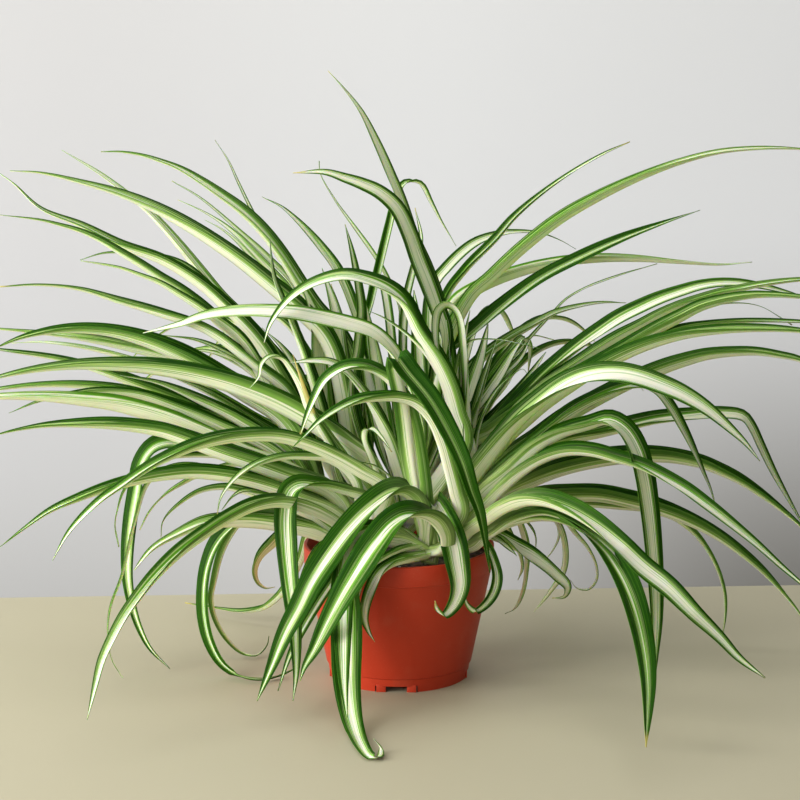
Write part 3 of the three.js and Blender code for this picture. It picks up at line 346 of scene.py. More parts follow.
# How a blade changes from its root, 0, to its tip, 1, with its folds in degrees
FOLD_AT_ROOT = 60
FOLD_AT_TIP = 34
FLATTER_WHEN_TURNED = 20
FOLD_HELD = 0.5
HELD_LESS_WHEN_TURNED = 0.8
EARLIER_OPENING = 0.45
FACING_AT_ROOT = 0.25
FACING_FROM = 0.2
FACING_TO = 0.9
ROOT_WIDTH = 0.75
FULL_WIDTH_AT = 0.25
TAPER_POWER = 2.7
TAPER_ROUND = 0.9
TIP_WIDTH = 0.35
BLADE_COLUMNS = 8
BLADE_THICKNESS = 0.35

# How a rib is drawn, how low it and its blade may come, and where its root stands in its crown's fan
PATH_STEPS = 90
DEPTH_EASE = 1.1
BLADE_REST = 3
LOWEST_POINT = 1.2
FAN_TURN = math.radians(75)
ROOT_INNER = 2.5
ROOT_OUTER = 6.5
ROOT_LOW = 1
ROOT_HIGH = 18

# A blade is hollow between its rib and its edges, and its edges ripple a little
HOLLOW_POWER = 1.3
RIPPLE_HEIGHT = (0.2, 0.6)
RIPPLE_WAVES = 19
RIPPLE_SHIFT = 2
RIPPLE_FROM = 0.1
RIPPLE_FULL = 0.3

# Fillers: plain leaves that arch to the back, where the picture shows none
FILLER_SEED = 12
DRAW_FACTOR = 1664525
DRAW_STEP = 1013904223
DRAW_RANGE = 2 ** 32
FILLERS = [
    # crown, first and last azimuth, number of leaves
    ("back_left", 112, 165, 4),
    ("back", 76, 112, 4),
    ("back_right", 40, 76, 3),
]
FILLER_START_OUT = 4
FILLER_START_UP = 2
FILLER_REACH = (150, 270)
FILLER_RISE = (380, 680)
FILLER_TIP_RISE = (50, 130)
FILLER_WIDTH = (12, 18)
FILLER_JITTER = 0.6
FILLER_EASE = 1.2

# Leaf markings. Places run from 0 at a blade's rib to 1 at its edge, and from 0 at its root to 1 at its tip.
STREAK_SHIFT = 61.0
BORDER_WANDER = 0.35
BORDER_SOFTNESS = (-0.01, 0.02)
GREEN_DEEPENS = (0.0, 0.32)
BASE_FADES = (0.02, 0.3)
BASE_WIDENING = 0.3
BASE_STRENGTH = 0.3
LINES_FADE = (0.1, 0.4)
LINE_EDGE = (0.02, 0.05)
LINES_ON_GREEN = 0.55
LINES_ON_CREAM = 0.9
HAIR_EDGE = (0.52, 0.6)
HAIRS_ON_GREEN = 0.3
HAIRS_ON_CREAM = 0.2
FINE_SHARE = 0.6
LINES_MEAN = 0.8
ROUGHNESS_SPREAD = 0.25

# The stage, in metres
GROUND_SIZE = 8
GROUND_EDGE = 0.234
GROUND_TURN = math.radians(3.3)
BACKDROP_AWAY = 0.95
BACKDROP_HEIGHT = 4
FLAG_SIZE = (1.7, 1.5)
FLAG_PLACE = (0.75, -0.55, 0.75)
UPRIGHT = math.pi / 2
FACING_LEFT = -math.pi / 2
SKY_COLOUR = (0.97, 0.98, 1.0, 1)
SKY_STRENGTH = 0.66
LAMPS = [
    # name, place, the place it points at, width, height, power in watts
    ("key", (-1.8, -1.4, 1.5), (0, 0, 0.2), 1.2, 1.2, 26),
    ("low key", (-1.9, -0.9, 0.5), (0, 0, 0.08), 1.2, 0.8, 36),
    ("fill", (-1.6, -2.0, 1.1), (0, 0, 0.2), 1.8, 1.4, 18),
    ("backdrop light", (-0.2, -0.1, 1.9), (0.1, 0.95, 0.3), 1.8, 0.6, 10),
]


# Nodes and materials

def linear(red, green, blue):
    """A colour from its screen values, 0 to 255."""
    steps = (value / 255 for value in (red, green, blue))
    return tuple(s / 12.92 if s <= 0.04045 else ((s + 0.055) / 1.055) ** 2.4 for s in steps) + (1,)


class Nodes:
    """Adds nodes to one tree. A value is a number, a colour or another node's output."""

    def __init__(self, tree):
        self.tree = tree

    def add(self, kind, values=None, **settings):
        node = self.tree.nodes.new(kind)
        for name, value in settings.items():
            setattr(node, name, value)
        self.feed(node.inputs, values or {})
        return node

    def feed(self, sockets, values):
        for name, value in values.items():
            if isinstance(value, bpy.types.NodeSocket):
                self.tree.links.new(value, sockets[name])
            else:
                sockets[name].default_value = value

    def sum(self, operation, a, b=0.0):
        return self.add("ShaderNodeMath", {0: a, 1: b}, operation=operation).outputs[0]

    def times(self, a, b):
        return self.sum("MULTIPLY", a, b)

    def attribute(self, name):
        return self.add("ShaderNodeAttribute", attribute_name=name).outputs["Fac"]

    def step(self, value, low, high):
        node = self.add("ShaderNodeMapRange", {0: value, 1: low, 2: high}, interpolation_type="SMOOTHSTEP")
        return node.outputs[0]

    def mix(self, share, a, b):
        return self.add("ShaderNodeMix", {0: share, 6: a, 7: b}, data_type="RGBA").outputs[2]

    def noise(self, vector, scale, detail):
        values = {"Vector": vector, "Scale": scale, "Detail": detail}
        return self.add("ShaderNodeTexNoise", values).outputs[0]

    def join(self, x, y, z):
        return self.add("ShaderNodeCombineXYZ", {0: x, 1: y, 2: z}).outputs[0]

    def split(self, vector):
        return self.add("ShaderNodeSeparateXYZ", {0: vector}).outputs

    def object_place(self):
        return self.add("ShaderNodeTexCoord").outputs["Object"]

    def bump(self, height, strength, distance):
        values = {"Height": height, "Strength": strength, "Distance": distance}
        return self.add("ShaderNodeBump", values).outputs[0]

    def group(self, group, values):
        return self.add("ShaderNodeGroup", values, node_tree=group).outputs


def new_group(name, inputs, outputs):
    """An empty node group. Inputs and outputs map a name to float or colour."""
    kinds = {"float": "NodeSocketFloat", "colour": "NodeSocketColor"}
    group = bpy.data.node_groups.new(name, "ShaderNodeTree")
    for names, direction in ((inputs, "INPUT"), (outputs, "OUTPUT")):
        for socket, kind in names.items():
            group.interface.new_socket(socket, in_out=direction, socket_type=kinds[kind])
    nodes = Nodes(group)
    return group, nodes, nodes.add("NodeGroupInput").outputs, nodes.add("NodeGroupOutput").inputs


def new_material(name):
    material = bpy.data.materials.new(name)
    material.use_nodes = True
    return material, Nodes(material.node_tree), material.node_tree.nodes["Principled BSDF"].inputs


def streaks_group():
    """Lines that run along a blade: a value that changes fast across it and slowly along it."""
    inputs = {"Count": "float", "Drift": "float", "Offset": "float"}
    group, nodes, given, out = new_group("streaks", inputs, {"Value": "float"})
    across = nodes.times(nodes.attribute("across"), given["Count"])
    across = nodes.sum("ADD", across, nodes.times(nodes.attribute("tone"), STREAK_SHIFT))
    along = nodes.times(nodes.attribute("along"), given["Drift"])
    place = nodes.join(across, along, given["Offset"])
    nodes.feed(out, {"Value": nodes.noise(place, 1.0, 1.5)})
    return group


def markings_group(streaks):
    """A blade's cream middle, green margins, the fine lines where they meet, its pale base and dry tip."""
    inputs = {name: "colour" for name in ("Cream", "Bright green", "Deep green", "Base", "Dry")}
    inputs["Widening"] = "float"
    group, nodes, given, out = new_group("leaf markings", inputs, {"Color": "colour", "Lines": "float"})
    coarse = nodes.group(streaks, {"Count": 2.6, "Drift": 0.9, "Offset": 1.0})[0]
    fine = nodes.group(streaks, {"Count": 9.0, "Drift": 1.3, "Offset": 7.0})[0]
    hair = nodes.group(streaks, {"Count": 22.0, "Drift": 2.0, "Offset": 13.0})[0]
    side = nodes.sum("ABSOLUTE", nodes.attribute("across"))
    root = nodes.sum("SUBTRACT", 1.0, nodes.step(nodes.attribute("along"), *BASE_FADES))
    wander = nodes.times(nodes.sum("SUBTRACT", coarse, 0.5), BORDER_WANDER)
    border = nodes.sum("ADD", nodes.attribute("cream"), wander)
    border = nodes.sum("ADD", border, nodes.times(root, BASE_WIDENING))
    border = nodes.sum("ADD", border, given["Widening"])
    beyond = nodes.sum("SUBTRACT", side, border)
    margin = nodes.step(beyond, *BORDER_SOFTNESS)
    near = nodes.sum("SUBTRACT", 1.0, nodes.step(nodes.sum("ABSOLUTE", beyond), *LINES_FADE))
    crest = nodes.step(nodes.sum("ABSOLUTE", nodes.sum("SUBTRACT", fine, 0.5)), *LINE_EDGE)
    lines = nodes.times(nodes.sum("SUBTRACT", 1.0, crest), near)
    hairs = nodes.step(hair, *HAIR_EDGE)
    green = nodes.mix(nodes.step(beyond, *GREEN_DEEPENS), given["Bright green"], given["Deep green"])
    green = nodes.mix(nodes.times(hairs, HAIRS_ON_GREEN), green, given["Bright green"])
    green = nodes.mix(nodes.times(lines, LINES_ON_GREEN), green, given["Base"])
    cream = nodes.mix(nodes.times(hairs, HAIRS_ON_CREAM), given["Cream"], given["Bright green"])
    cream = nodes.mix(nodes.times(lines, LINES_ON_CREAM), cream, given["Bright green"])
    colour = nodes.mix(margin, cream, green)
    colour = nodes.mix(nodes.times(root, BASE_STRENGTH), colour, given["Base"])
    colour = nodes.mix(nodes.attribute("dry"), colour, given["Dry"])
    nodes.feed(out, {"Color": colour, "Lines": nodes.sum("ADD", hair, nodes.times(fine, FINE_SHARE))})
    return group


def blade_material(name, markings, colours, roughness, gloss):
    material, nodes, shader = new_material(name)
    marks = nodes.group(markings, colours)
    uneven = nodes.times(nodes.sum("SUBTRACT", marks["Lines"], LINES_MEAN), ROUGHNESS_SPREAD)
    nodes.feed(shader, {
        "Base Color": marks["Color"],
        "Roughness": nodes.sum("ADD", uneven, roughness),
        "Normal": nodes.bump(marks["Lines"], 0.35, 0.0004),
        "Specular IOR Level": gloss,
        "Subsurface Weight": 0.75,
        "Subsurface Radius": (0.7, 1.0, 0.3),
        "Subsurface Scale": 0.0008,
    })
    return material


def pot_material():
    """Moulded terracotta plastic with faint flow marks, fine level lines, pale specks and a little dust."""
    material, nodes, shader = new_material("terracotta plastic")
    place = nodes.object_place()
    x, y, z = nodes.split(place)
    cloud = nodes.noise(place, 9.0, 3.0)
    drawn = nodes.join(nodes.times(x, 0.2), nodes.times(y, 0.2), z)
    rings = nodes.noise(drawn, 900.0, 2.0)
    speck = nodes.noise(place, 700.0, 2.0)
    colour = nodes.mix(cloud, linear(184, 52, 25), linear(196, 60, 31))
    specks = nodes.times(nodes.step(speck, 0.66, 0.72), 0.2)
    colour = nodes.mix(specks, colour, linear(206, 104, 74))
    dust = nodes.times(nodes.step(nodes.noise(place, 60.0, 4.0), 0.5, 0.8), 0.06)
    colour = nodes.mix(dust, colour, linear(196, 140, 112))
    height = nodes.sum("ADD", nodes.times(rings, 0.4), nodes.times(speck, 0.3))
    nodes.feed(shader, {
        "Base Color": colour,
        "Roughness": nodes.sum("ADD", nodes.times(rings, 0.12), 0.42),
        "Specular IOR Level": 0.3,
        "Normal": nodes.bump(height, 0.12, 0.0004),
    })
    return material


def soil_material():
    material, nodes, shader = new_material("potting soil")
    place = nodes.object_place()
    clods = nodes.noise(place, 220.0, 4.0)
    colour = nodes.mix(nodes.step(clods, 0.35, 0.7), linear(34, 24, 18), linear(84, 62, 44))
    fibre = nodes.step(nodes.noise(place, 900.0, 2.0), 0.62, 0.7)
    colour = nodes.mix(nodes.times(fibre, 0.6), colour, linear(128, 98, 66))
    nodes.feed(shader, {"Base Color": colour, "Roughness": 0.95, "Normal": nodes.bump(clods, 0.9, 0.002)})
    return material


def perlite_material():
    material, nodes, shader = new_material("perlite")
    grain = nodes.noise(nodes.object_place(), 1400.0, 3.0)
    colour = nodes.mix(grain, linear(196, 190, 176), linear(236, 232, 222))
    nodes.feed(shader, {"Base Color": colour, "Roughness": 0.9, "Normal": nodes.bump(grain, 0.6, 0.0006)})
    return material


# Pieces

def new_object(name, data):
    made = bpy.data.objects.new(name, data)
    bpy.context.scene.collection.objects.link(made)
    return made


def mesh_object(bm, name, *materials):
    """An object at the origin from a bmesh, which is used up."""
    mesh = bpy.data.meshes.new(name)
    bm.to_mesh(mesh)
    bm.free()
    for material in materials:
        mesh.materials.append(material)
    return new_object(name, mesh)


def finish_piece(bm, name, slot, *materials):
    """One smooth object from a bmesh, riding on the plant's body."""
    piece = mesh_object(bm, name, *materials)
    piece.data.shade_smooth()
    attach(piece, "root")
    return piece


def to_picture(point):
    """Where a point in space stands in the picture."""
    away = point.y + EYE_AWAY
    down = EYE_HEIGHT - point.z
    along = away * math.cos(EYE_PITCH) + down * math.sin(EYE_PITCH)
    below = down * math.cos(EYE_PITCH) - away * math.sin(EYE_PITCH)
    column = PICTURE_MIDDLE + EYE_FOCAL * (point.x - EYE_SIDE) / along
    return Vector((column, PICTURE_MIDDLE + EYE_FOCAL * below / along))


def to_space(spot, depth):
    """A picture point back in space, at a depth behind the pot's axis, but never below its underside."""
    right = (spot[0] - PICTURE_MIDDLE) / EYE_FOCAL
    below = (spot[1] - PICTURE_MIDDLE) / EYE_FOCAL
    forward = math.cos(EYE_PITCH) - math.sin(EYE_PITCH) * below
    down = math.sin(EYE_PITCH) + math.cos(EYE_PITCH) * below
    reach = (depth + EYE_AWAY) / forward
    if EYE_HEIGHT - reach * down < BLADE_REST:
        reach = (EYE_HEIGHT - BLADE_REST) / down
    return Vector((EYE_SIDE + reach * right, reach * forward - EYE_AWAY, EYE_HEIGHT - reach * down))


def smooth(low, high, x):
    t = min(1, max(0, (x - low) / (high - low)))
    return t * t * (3 - 2 * t)


def curve_point(points, t):
    """A point on the centripetal curve through points, with t from 0 to 1."""
    place = (len(points) - 1) * t
    k = min(int(place), len(points) - 2)
    f = place - k
    p1, p2 = points[k], points[k + 1]
    p0 = points[k - 1] if k else 2 * p1 - p2
    p3 = points[k + 2] if k + 2 < len(points) else 2 * p2 - p1
    d0, d1, d2 = (math.sqrt(max((b - a).length, 1e-6)) for a, b in ((p0, p1), (p1, p2), (p2, p3)))
    m1 = ((p1 - p0) / d0 - (p2 - p0) / (d0 + d1) + (p2 - p1) / d1) * d1
    m2 = ((p2 - p1) / d1 - (p3 - p1) / (d1 + d2) + (p3 - p2) / d2) * d1
    bend = 2 * (p1 - p2) + m1 + m2
    lean = -3 * p1 + 3 * p2 - 2 * m1 - m2
    return p1 + m1 * f + lean * f * f + bend * f * f * f


def spaced_points(points, steps):
    """Points at equal lengths along the curve through points."""
    parts = 200
    fine = [curve_point(points, i / parts) for i in range(parts + 1)]
    lengths = [0.0]
    for a, b in zip(fine, fine[1:]):
        lengths.append(lengths[-1] + (b - a).length)
    result = []
    k = 1
    for i in range(steps + 1):
        goal = lengths[-1] * i / steps
        while k < parts and lengths[k] < goal:
            k += 1
        f = (goal - lengths[k - 1]) / (lengths[k] - lengths[k - 1])
        result.append(curve_point(points, (k - 1 + f) / parts))
    return result


def depth_at(root_depth, depth, s):
    if not isinstance(depth, list):
        return root_depth + (depth - root_depth) * s ** DEPTH_EASE
    stops = [root_depth, *depth]
    place = s * len(depth)
    k = min(int(place), len(depth) - 1)
    return stops[k] + (stops[k + 1] - stops[k]) * (place - k)


def last_of(depth):
    return depth[-1] if isinstance(depth, list) else depth


def azimuth_of(crown, depth, flat):
    """Which way a leaf leaves its crown, seen from above. It is measured from straight forward for a crown
    in front of the pot's axis, and from straight back for the others, so that no fan is split."""
    x, y = CROWNS[crown]
    tip = to_space(flat[-2:], last_of(depth))
    front = 1 if y < 0 else -1
    return math.atan2(front * (tip.x - x), -front * (tip.y - y))


def rib_of(crown, depth, flat, turn):
    """Points along a leaf's rib. Roots stand round a crown in a fan, upright leaves nearer its middle."""
    x, y = CROWNS[crown]
    path = [Vector(flat[i:i + 2]) for i in range(0, len(flat), 2)]
    aim = to_space(path[-1], last_of(depth))
    base = to_picture(Vector((x, y, SOIL_TOP)))
    steep = max(0, (base.y - path[0].y) / (base - path[0]).length)
    angle = math.atan2(aim.y - y, aim.x - x) + turn * FAN_TURN
    spread = ROOT_OUTER + (ROOT_INNER - ROOT_OUTER) * steep
    height = SOIL_TOP + ROOT_LOW + (ROOT_HIGH - ROOT_LOW) * steep
    root = Vector((x + spread * math.cos(angle), y + spread * math.sin(angle), height))
    fine = spaced_points([to_picture(root), *path], PATH_STEPS)
    return [to_space(p, depth_at(root.y, depth, i / PATH_STEPS)) for i, p in enumerate(fine)]


def traced_ribs():
    """The ribs of the leaves that the picture shows."""
    ribs = []
    for crown, rows in LEAVES.items():
        azimuths = {row[0]: azimuth_of(crown, row[1], row[-1]) for row in rows}
        fan = sorted(azimuths, key=azimuths.get)
        for name, depth, width, facing, flat in rows:
            turn = 2 * (fan.index(name) + 0.5) / len(rows) - 1
            ribs.append((name, crown, width, facing, rib_of(crown, depth, flat, turn)))
    return ribs


def filler_ribs():
    """The fillers' ribs, from a repeatable draw."""
    state = FILLER_SEED

    def draw():
        nonlocal state
        state = (state * DRAW_FACTOR + DRAW_STEP) % DRAW_RANGE
        return state / DRAW_RANGE

    def between(limits):
        return limits[0] + (limits[1] - limits[0]) * draw()

    ribs = []
    for crown, first, last, count in FILLERS:
        for i in range(count):
            place = i + (1 - FILLER_JITTER) / 2 + FILLER_JITTER * draw()
            azimuth = math.radians(first + (last - first) * place / count)
            reach = between(FILLER_REACH)
            rise = between(FILLER_RISE)
            fall = rise - between(FILLER_TIP_RISE)
            width = between(FILLER_WIDTH)
            x, y = CROWNS[crown]
            points = []
            for k in range(PATH_STEPS + 1):
                s = k / PATH_STEPS
                r = FILLER_START_OUT + reach * s ** FILLER_EASE
                z = max(BLADE_REST, SOIL_TOP + FILLER_START_UP + rise * s - fall * s * s)
                points.append(Vector((x + r * math.cos(azimuth), y + r * math.sin(azimuth), z)))
            ribs.append((f"filler {crown} {i}", crown, width, 0.0, points))
    return ribs


def half_width(width, s):
    opening = ROOT_WIDTH + (1 - ROOT_WIDTH) * smooth(0, FULL_WIDTH_AT, s)
    return max(TIP_WIDTH, (width / 2) * opening * max(0, 1 - s ** TAPER_POWER) ** TAPER_ROUND)


def fold_angle(facing, s):
    """How steeply each half rises from the rib. A blade turned to the front opens sooner and flatter."""
    turned = min(1, abs(facing))
    fall = FOLD_AT_TIP - FLATTER_WHEN_TURNED * turned - FOLD_AT_ROOT
    held = FOLD_HELD * (1 - HELD_LESS_WHEN_TURNED * turned)
    return math.radians(FOLD_AT_ROOT + fall * smooth(held, 1 - EARLIER_OPENING * turned, s))


def facing_share(s):
    """How far a blade's upper face is turned to the front at s, as a share of its full turn."""
    return FACING_AT_ROOT + (1 - FACING_AT_ROOT) * smooth(FACING_FROM, FACING_TO, s)


def blade_rings(points, facing):
    """For each rib point: the point, the blade's sideways direction and the way its upper face looks."""
    outward = Vector((points[-1].x - points[0].x, points[-1].y - points[0].y, 0)).normalized()
    across = Vector((-outward.y, outward.x, 0))
    front = Vector((0, -math.cos(EYE_PITCH), math.sin(EYE_PITCH)))
    rings = []
    for i, point in enumerate(points):
        before = points[max(0, i - 1)]
        after = points[min(len(points) - 1, i + 1)]
        along = (after - before).normalized()
        side = (across - along * across.dot(along)).normalized()
        up = along.cross(side)
        turn = facing * facing_share(i / (len(points) - 1))
        up = (up + (front - along * front.dot(along)) * turn).normalized()
        rings.append((point, up.cross(along), up))
    return rings


def add_blade(bm, layers, name, width, facing, points):
    """A folded strip along a rib, with its place on the leaf kept on every point for the markings."""
    luck = random.Random(name)
    tone = luck.random()
    cream = CREAM_SHARE.get(name, luck.uniform(*CREAM_USUAL))
    dry_from = DRY_FROM.get(name, luck.uniform(*DRY_USUAL))
    ripple = luck.uniform(*RIPPLE_HEIGHT)
    phase = luck.uniform(0, 2 * math.pi)
    rings = blade_rings(points, facing)
    made = bmesh.ops.create_grid(bm, x_segments=BLADE_COLUMNS, y_segments=PATH_STEPS, size=0.5)
    for vert in made["verts"]:
        t = -2 * vert.co.x
        s = vert.co.y + 0.5
        point, side, up = rings[round(s * PATH_STEPS)]
        half = half_width(width, s)
        fold = fold_angle(facing, s)
        lift = half * math.sin(fold) / 2
        wave = math.sin(phase + RIPPLE_WAVES * s + (RIPPLE_SHIFT if t > 0 else 0))
        rise = lift * (2 * abs(t) ** HOLLOW_POWER - 1)
        rise += ripple * t * t * wave * smooth(RIPPLE_FROM, RIPPLE_FULL, s)
        place = point + side * (half * math.cos(fold) * t) + up * rise
        place.z = max(place.z, LOWEST_POINT)
        vert.co = place * MM
        vert[layers["across"]] = t
        vert[layers["along"]] = s
        vert[layers["tone"]] = tone
        vert[layers["cream"]] = cream if s > PALE_UP_TO.get(name, 0) else SNAPPED_CREAM
        vert[layers["dry"]] = smooth(dry_from, dry_from + DRY_SOFTNESS, s) * DRY_STRENGTH


def crown_piece(crown, ribs, upper, under):
    bm = bmesh.new()
    names = ("across", "along", "tone", "cream", "dry")
    layers = {name: bm.verts.layers.float.new(name) for name in names}
    for name, at, width, facing, points in ribs:
        if at == crown:
            add_blade(bm, layers, name, width, facing, points)
    piece = finish_piece(bm, f"leaves_{crown}", "foliage", upper, under)
    skin = piece.modifiers.new("thickness", "SOLIDIFY")
    skin.thickness = BLADE_THICKNESS * MM
    skin.offset = 0
    skin.material_offset = 1
    skin.material_offset_rim = 1
    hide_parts(f"crown_{crown}")


def turned_body(profile, sides):
    """A turned body from a profile of radii and heights that starts and ends on the axis."""
    bm = bmesh.new()
    verts = [bm.verts.new((r * MM, 0, z * MM)) for r, z in profile]
    edges = [bm.edges.new(pair) for pair in zip(verts, verts[1:])]
    bmesh.ops.spin(bm, geom=[*verts, *edges], cent=(0, 0, 0), axis=(0, 0, 1), angle=2 * math.pi,
                   steps=sides, use_merge=True)
    bmesh.ops.remove_doubles(bm, verts=bm.verts, dist=1e-6)
    bmesh.ops.recalc_face_normals(bm, faces=bm.faces)
    return bm


BAND_BOTTOM = POT_HEIGHT - RIM_BAND
FLOOR_TOP = SKIRT_HEIGHT + FLOOR_THICKNESS
WALL_FOOT = (BASE_RADIUS + DRAFT + SKIRT_STEP, SKIRT_STEP_HEIGHT + EASING)
WALL_HEAD = (WALL_BELOW_RIM, BAND_BOTTOM - EASING)


def wall_radius(z):
    share = (z - WALL_FOOT[1]) / (WALL_HEAD[1] - WALL_FOOT[1])
    return WALL_FOOT[0] + (WALL_HEAD[0] - WALL_FOOT[0]) * share


INNER_TOP = wall_radius(BAND_BOTTOM) - WALL
INNER_CORNER = wall_radius(FLOOR_TOP + FLOOR_CORNER) - WALL


def block(bm, size, centre, turn):
    """A box of a size, at a centre, then turned about the pot's axis."""
    box = bmesh.ops.create_cube(bm, size=1.0)["verts"]
    bmesh.ops.scale(bm, vec=[side * MM for side in size], verts=box)
    bmesh.ops.translate(bm, vec=[side * MM for side in centre], verts=box)
    bmesh.ops.rotate(bm, cent=(0, 0, 0), matrix=Matrix.Rotation(turn, 3, "Z"), verts=box)


def peg(bm, radius, bottom, top, x, y):
    rod = bmesh.ops.create_cone(bm, cap_ends=True, segments=DRAIN_HOLE_SIDES,
                                radius1=radius * MM, radius2=radius * MM, depth=(top - bottom) * MM)["verts"]
    bmesh.ops.translate(bm, vec=(x * MM, y * MM, (top + bottom) / 2 * MM), verts=rod)


def notch_turns():
    return [math.radians(NOTCH_TURN + 360 / NOTCH_COUNT * i) for i in range(NOTCH_COUNT)]


def pot_piece(material):
    bm = turned_body([
        (0, 0),
        (CENTRE_FOOT_RADIUS, 0),
        (CENTRE_FOOT_RADIUS + DRAFT, SKIRT_HEIGHT),
        (BASE_RADIUS - WALL, SKIRT_HEIGHT),
        (BASE_RADIUS - WALL, 0),
        (BASE_RADIUS, 0),
        (BASE_RADIUS + DRAFT, SKIRT_STEP_HEIGHT - EASING),
        WALL_FOOT,
        WALL_HEAD,
        (WALL_BELOW_RIM + RIM_PROUD, BAND_BOTTOM),
        (RIM_RADIUS, POT_HEIGHT - EASING),
        (RIM_RADIUS - EASING, POT_HEIGHT),
        (RIM_RADIUS - RIM_WIDTH, POT_HEIGHT),
        (INNER_TOP, BAND_BOTTOM),
        (INNER_CORNER, FLOOR_TOP + FLOOR_CORNER),
        (INNER_CORNER - FLOOR_CORNER, FLOOR_TOP),
        (0, FLOOR_TOP),
    ], POT_SIDES)
    pot = finish_piece(bm, "pot_wall", "pot", material)
    cutter = bmesh.new()
    for turn in notch_turns():
        block(cutter, (NOTCH_WIDTH, NOTCH_DEPTH, 2 * NOTCH_HEIGHT), (0, -BASE_RADIUS, 0), turn)
        angle = turn - math.pi / 2
        spot = (DRAIN_HOLE_CIRCLE * math.cos(angle), DRAIN_HOLE_CIRCLE * math.sin(angle))
        peg(cutter, DRAIN_HOLE_RADIUS, -CUT_PAST, FLOOR_TOP + CUT_PAST, *spot)
    cuts = mesh_object(cutter, "pot_cuts")
    cut = pot.modifiers.new("cuts", "BOOLEAN")
    cut.object = cuts
    cut.solver = "EXACT"
    graph = bpy.context.evaluated_depsgraph_get()
    pot.data = bpy.data.meshes.new_from_object(pot.evaluated_get(graph))
    pot.modifiers.clear()
    bpy.data.objects.remove(cuts)
    edge = pot.modifiers.new("edges", "BEVEL")
    edge.width = WALL_BEVEL * MM
    edge.segments = 2
    edge.limit_method = "ANGLE"
    pot.data.shade_smooth()
    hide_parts("pot")


def pot_feet(material):
    """The small feet set back in each drain notch."""
    bm = bmesh.new()
    top = SKIRT_HEIGHT + EASING
    for turn in notch_turns():
        for side in (-1, 1):
            y = FOOT_SETBACK + WALL / 2 - BASE_RADIUS
            block(bm, (FOOT_WIDTH, WALL, top), (side * FOOT_OFFSET, y, top / 2), turn)
    bmesh.ops.bevel(bm, geom=bm.edges, offset=FOOT_BEVEL * MM, segments=2, profile=0.5, affect="EDGES",
                    material=-1)
    finish_piece(bm, "pot_feet", "pot", material)


def scatter(bm, seed, count, smallest, largest, fineness):
    """Loose pieces scattered on the soil, each a rough ball pushed out of round."""
    luck = random.Random(seed)
    for _ in range(count):
        angle = luck.uniform(0, 2 * math.pi)
        r = (INNER_TOP - LOOSE_MARGIN) * math.sqrt(luck.random())
        size = luck.uniform(smallest, largest)
        ball = bmesh.ops.create_icosphere(bm, subdivisions=fineness, radius=size * MM)["verts"]
        lift = SOIL_TOP - SOIL_DOME / 2 + luck.uniform(*LOOSE_LIFT) * size
        for vert in ball:
            vert.co *= luck.uniform(*LOOSE_ROUGHNESS)
        bmesh.ops.scale(bm, vec=(1, luck.uniform(*LOOSE_DEPTH), luck.uniform(*LOOSE_HEIGHT)), verts=ball)
        bmesh.ops.rotate(bm, cent=(0, 0, 0), matrix=Matrix.Rotation(angle, 3, "Z"), verts=ball)
        bearing = 3 * angle
        spot = (r * math.cos(bearing) * MM, r * math.sin(bearing) * MM, lift * MM)
        bmesh.ops.translate(bm, vec=spot, verts=ball)


def soil_piece(material):
    edge = INNER_TOP - 2 * GAP
    shares = [k / SOIL_RINGS for k in range(SOIL_RINGS, -1, -1)]
    top = [(edge * share, SOIL_TOP - SOIL_DOME * share ** 2) for share in shares]
    bm = turned_body([
        (0, FLOOR_TOP + GAP),
        (INNER_CORNER - FLOOR_CORNER - GAP, FLOOR_TOP + GAP),
        (INNER_CORNER - 2 * GAP, FLOOR_TOP + FLOOR_CORNER + GAP),
        *top,
    ], SOIL_SIDES)
    for vert in bm.verts:
        reach = math.hypot(vert.co.x, vert.co.y) / MM
        if vert.co.z > (SOIL_TOP - SOIL_DOME - SOIL_EDGE) * MM and reach < edge - SOIL_EDGE:
            heap = noise.noise(vert.co * HEAP_COUNT) * HEAP_HEIGHT
            lump = noise.noise(vert.co * LUMP_COUNT) * LUMP_HEIGHT
            vert.co.z += (heap + lump) * MM
    scatter(bm, *CRUMBS)
    piece = finish_piece(bm, "soil_bed", "soil", material)
    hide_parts("soil")


def perlite_piece(material):
    bm = bmesh.new()
    scatter(bm, *PERLITE)
    finish_piece(bm, "perlite", "soil", material)


# Stage: a pale floor, light from the left, and a camera where the eye is

def floor_material():
    material, nodes, shader = new_material("floor")
    mottle = nodes.noise(nodes.object_place(), 3.0, 3.0)
    colour = nodes.mix(mottle, linear(184, 177, 150), linear(178, 171, 144))
    nodes.feed(shader, {"Base Color": colour, "Roughness": 0.6, "Specular IOR Level": 0.25})
    return material


def only_from_front(nodes):
    """The alpha of a sheet that is seen only from its front, so that it never hides the plant."""
    return nodes.sum("SUBTRACT", 1.0, nodes.add("ShaderNodeNewGeometry").outputs["Backfacing"])


def backdrop_material():
    """Pale grey with light and shade painted in: painted light that makes it lighter from the left towards
    the right, painted shade that darkens it downwards, and a painted shadow of the plant that darkens its
    lower right most.
    """
    material, nodes, shader = new_material("backdrop")
    x, y, z = nodes.split(nodes.object_place())
    # Painted shade: low grows downwards and darkens the backdrop towards its foot
    low = nodes.sum("SUBTRACT", 1.0, nodes.step(z, -0.3, 0.25))
    right = nodes.step(x, -0.1, 0.5)
    # Painted light: the backdrop grows lighter from the left towards the right, against the flag's shade
    painted_light_rightwards = nodes.step(x, -0.45, 0.1)
    high_colour = nodes.mix(painted_light_rightwards, linear(189, 188, 187), linear(203, 203, 202))
    low_colour = nodes.mix(painted_light_rightwards, linear(179, 178, 175), linear(193, 191, 187))
    colour = nodes.mix(low, high_colour, low_colour)
    # Painted shadow of the plant: where low and right meet, the lower right darkens to a deep grey
    colour = nodes.mix(nodes.times(low, right), colour, linear(112, 110, 104))
    nodes.feed(shader, {
        "Base Color": colour,
        "Roughness": 0.9,
        "Specular IOR Level": 0.1,
        "Alpha": only_from_front(nodes),
    })
    return material


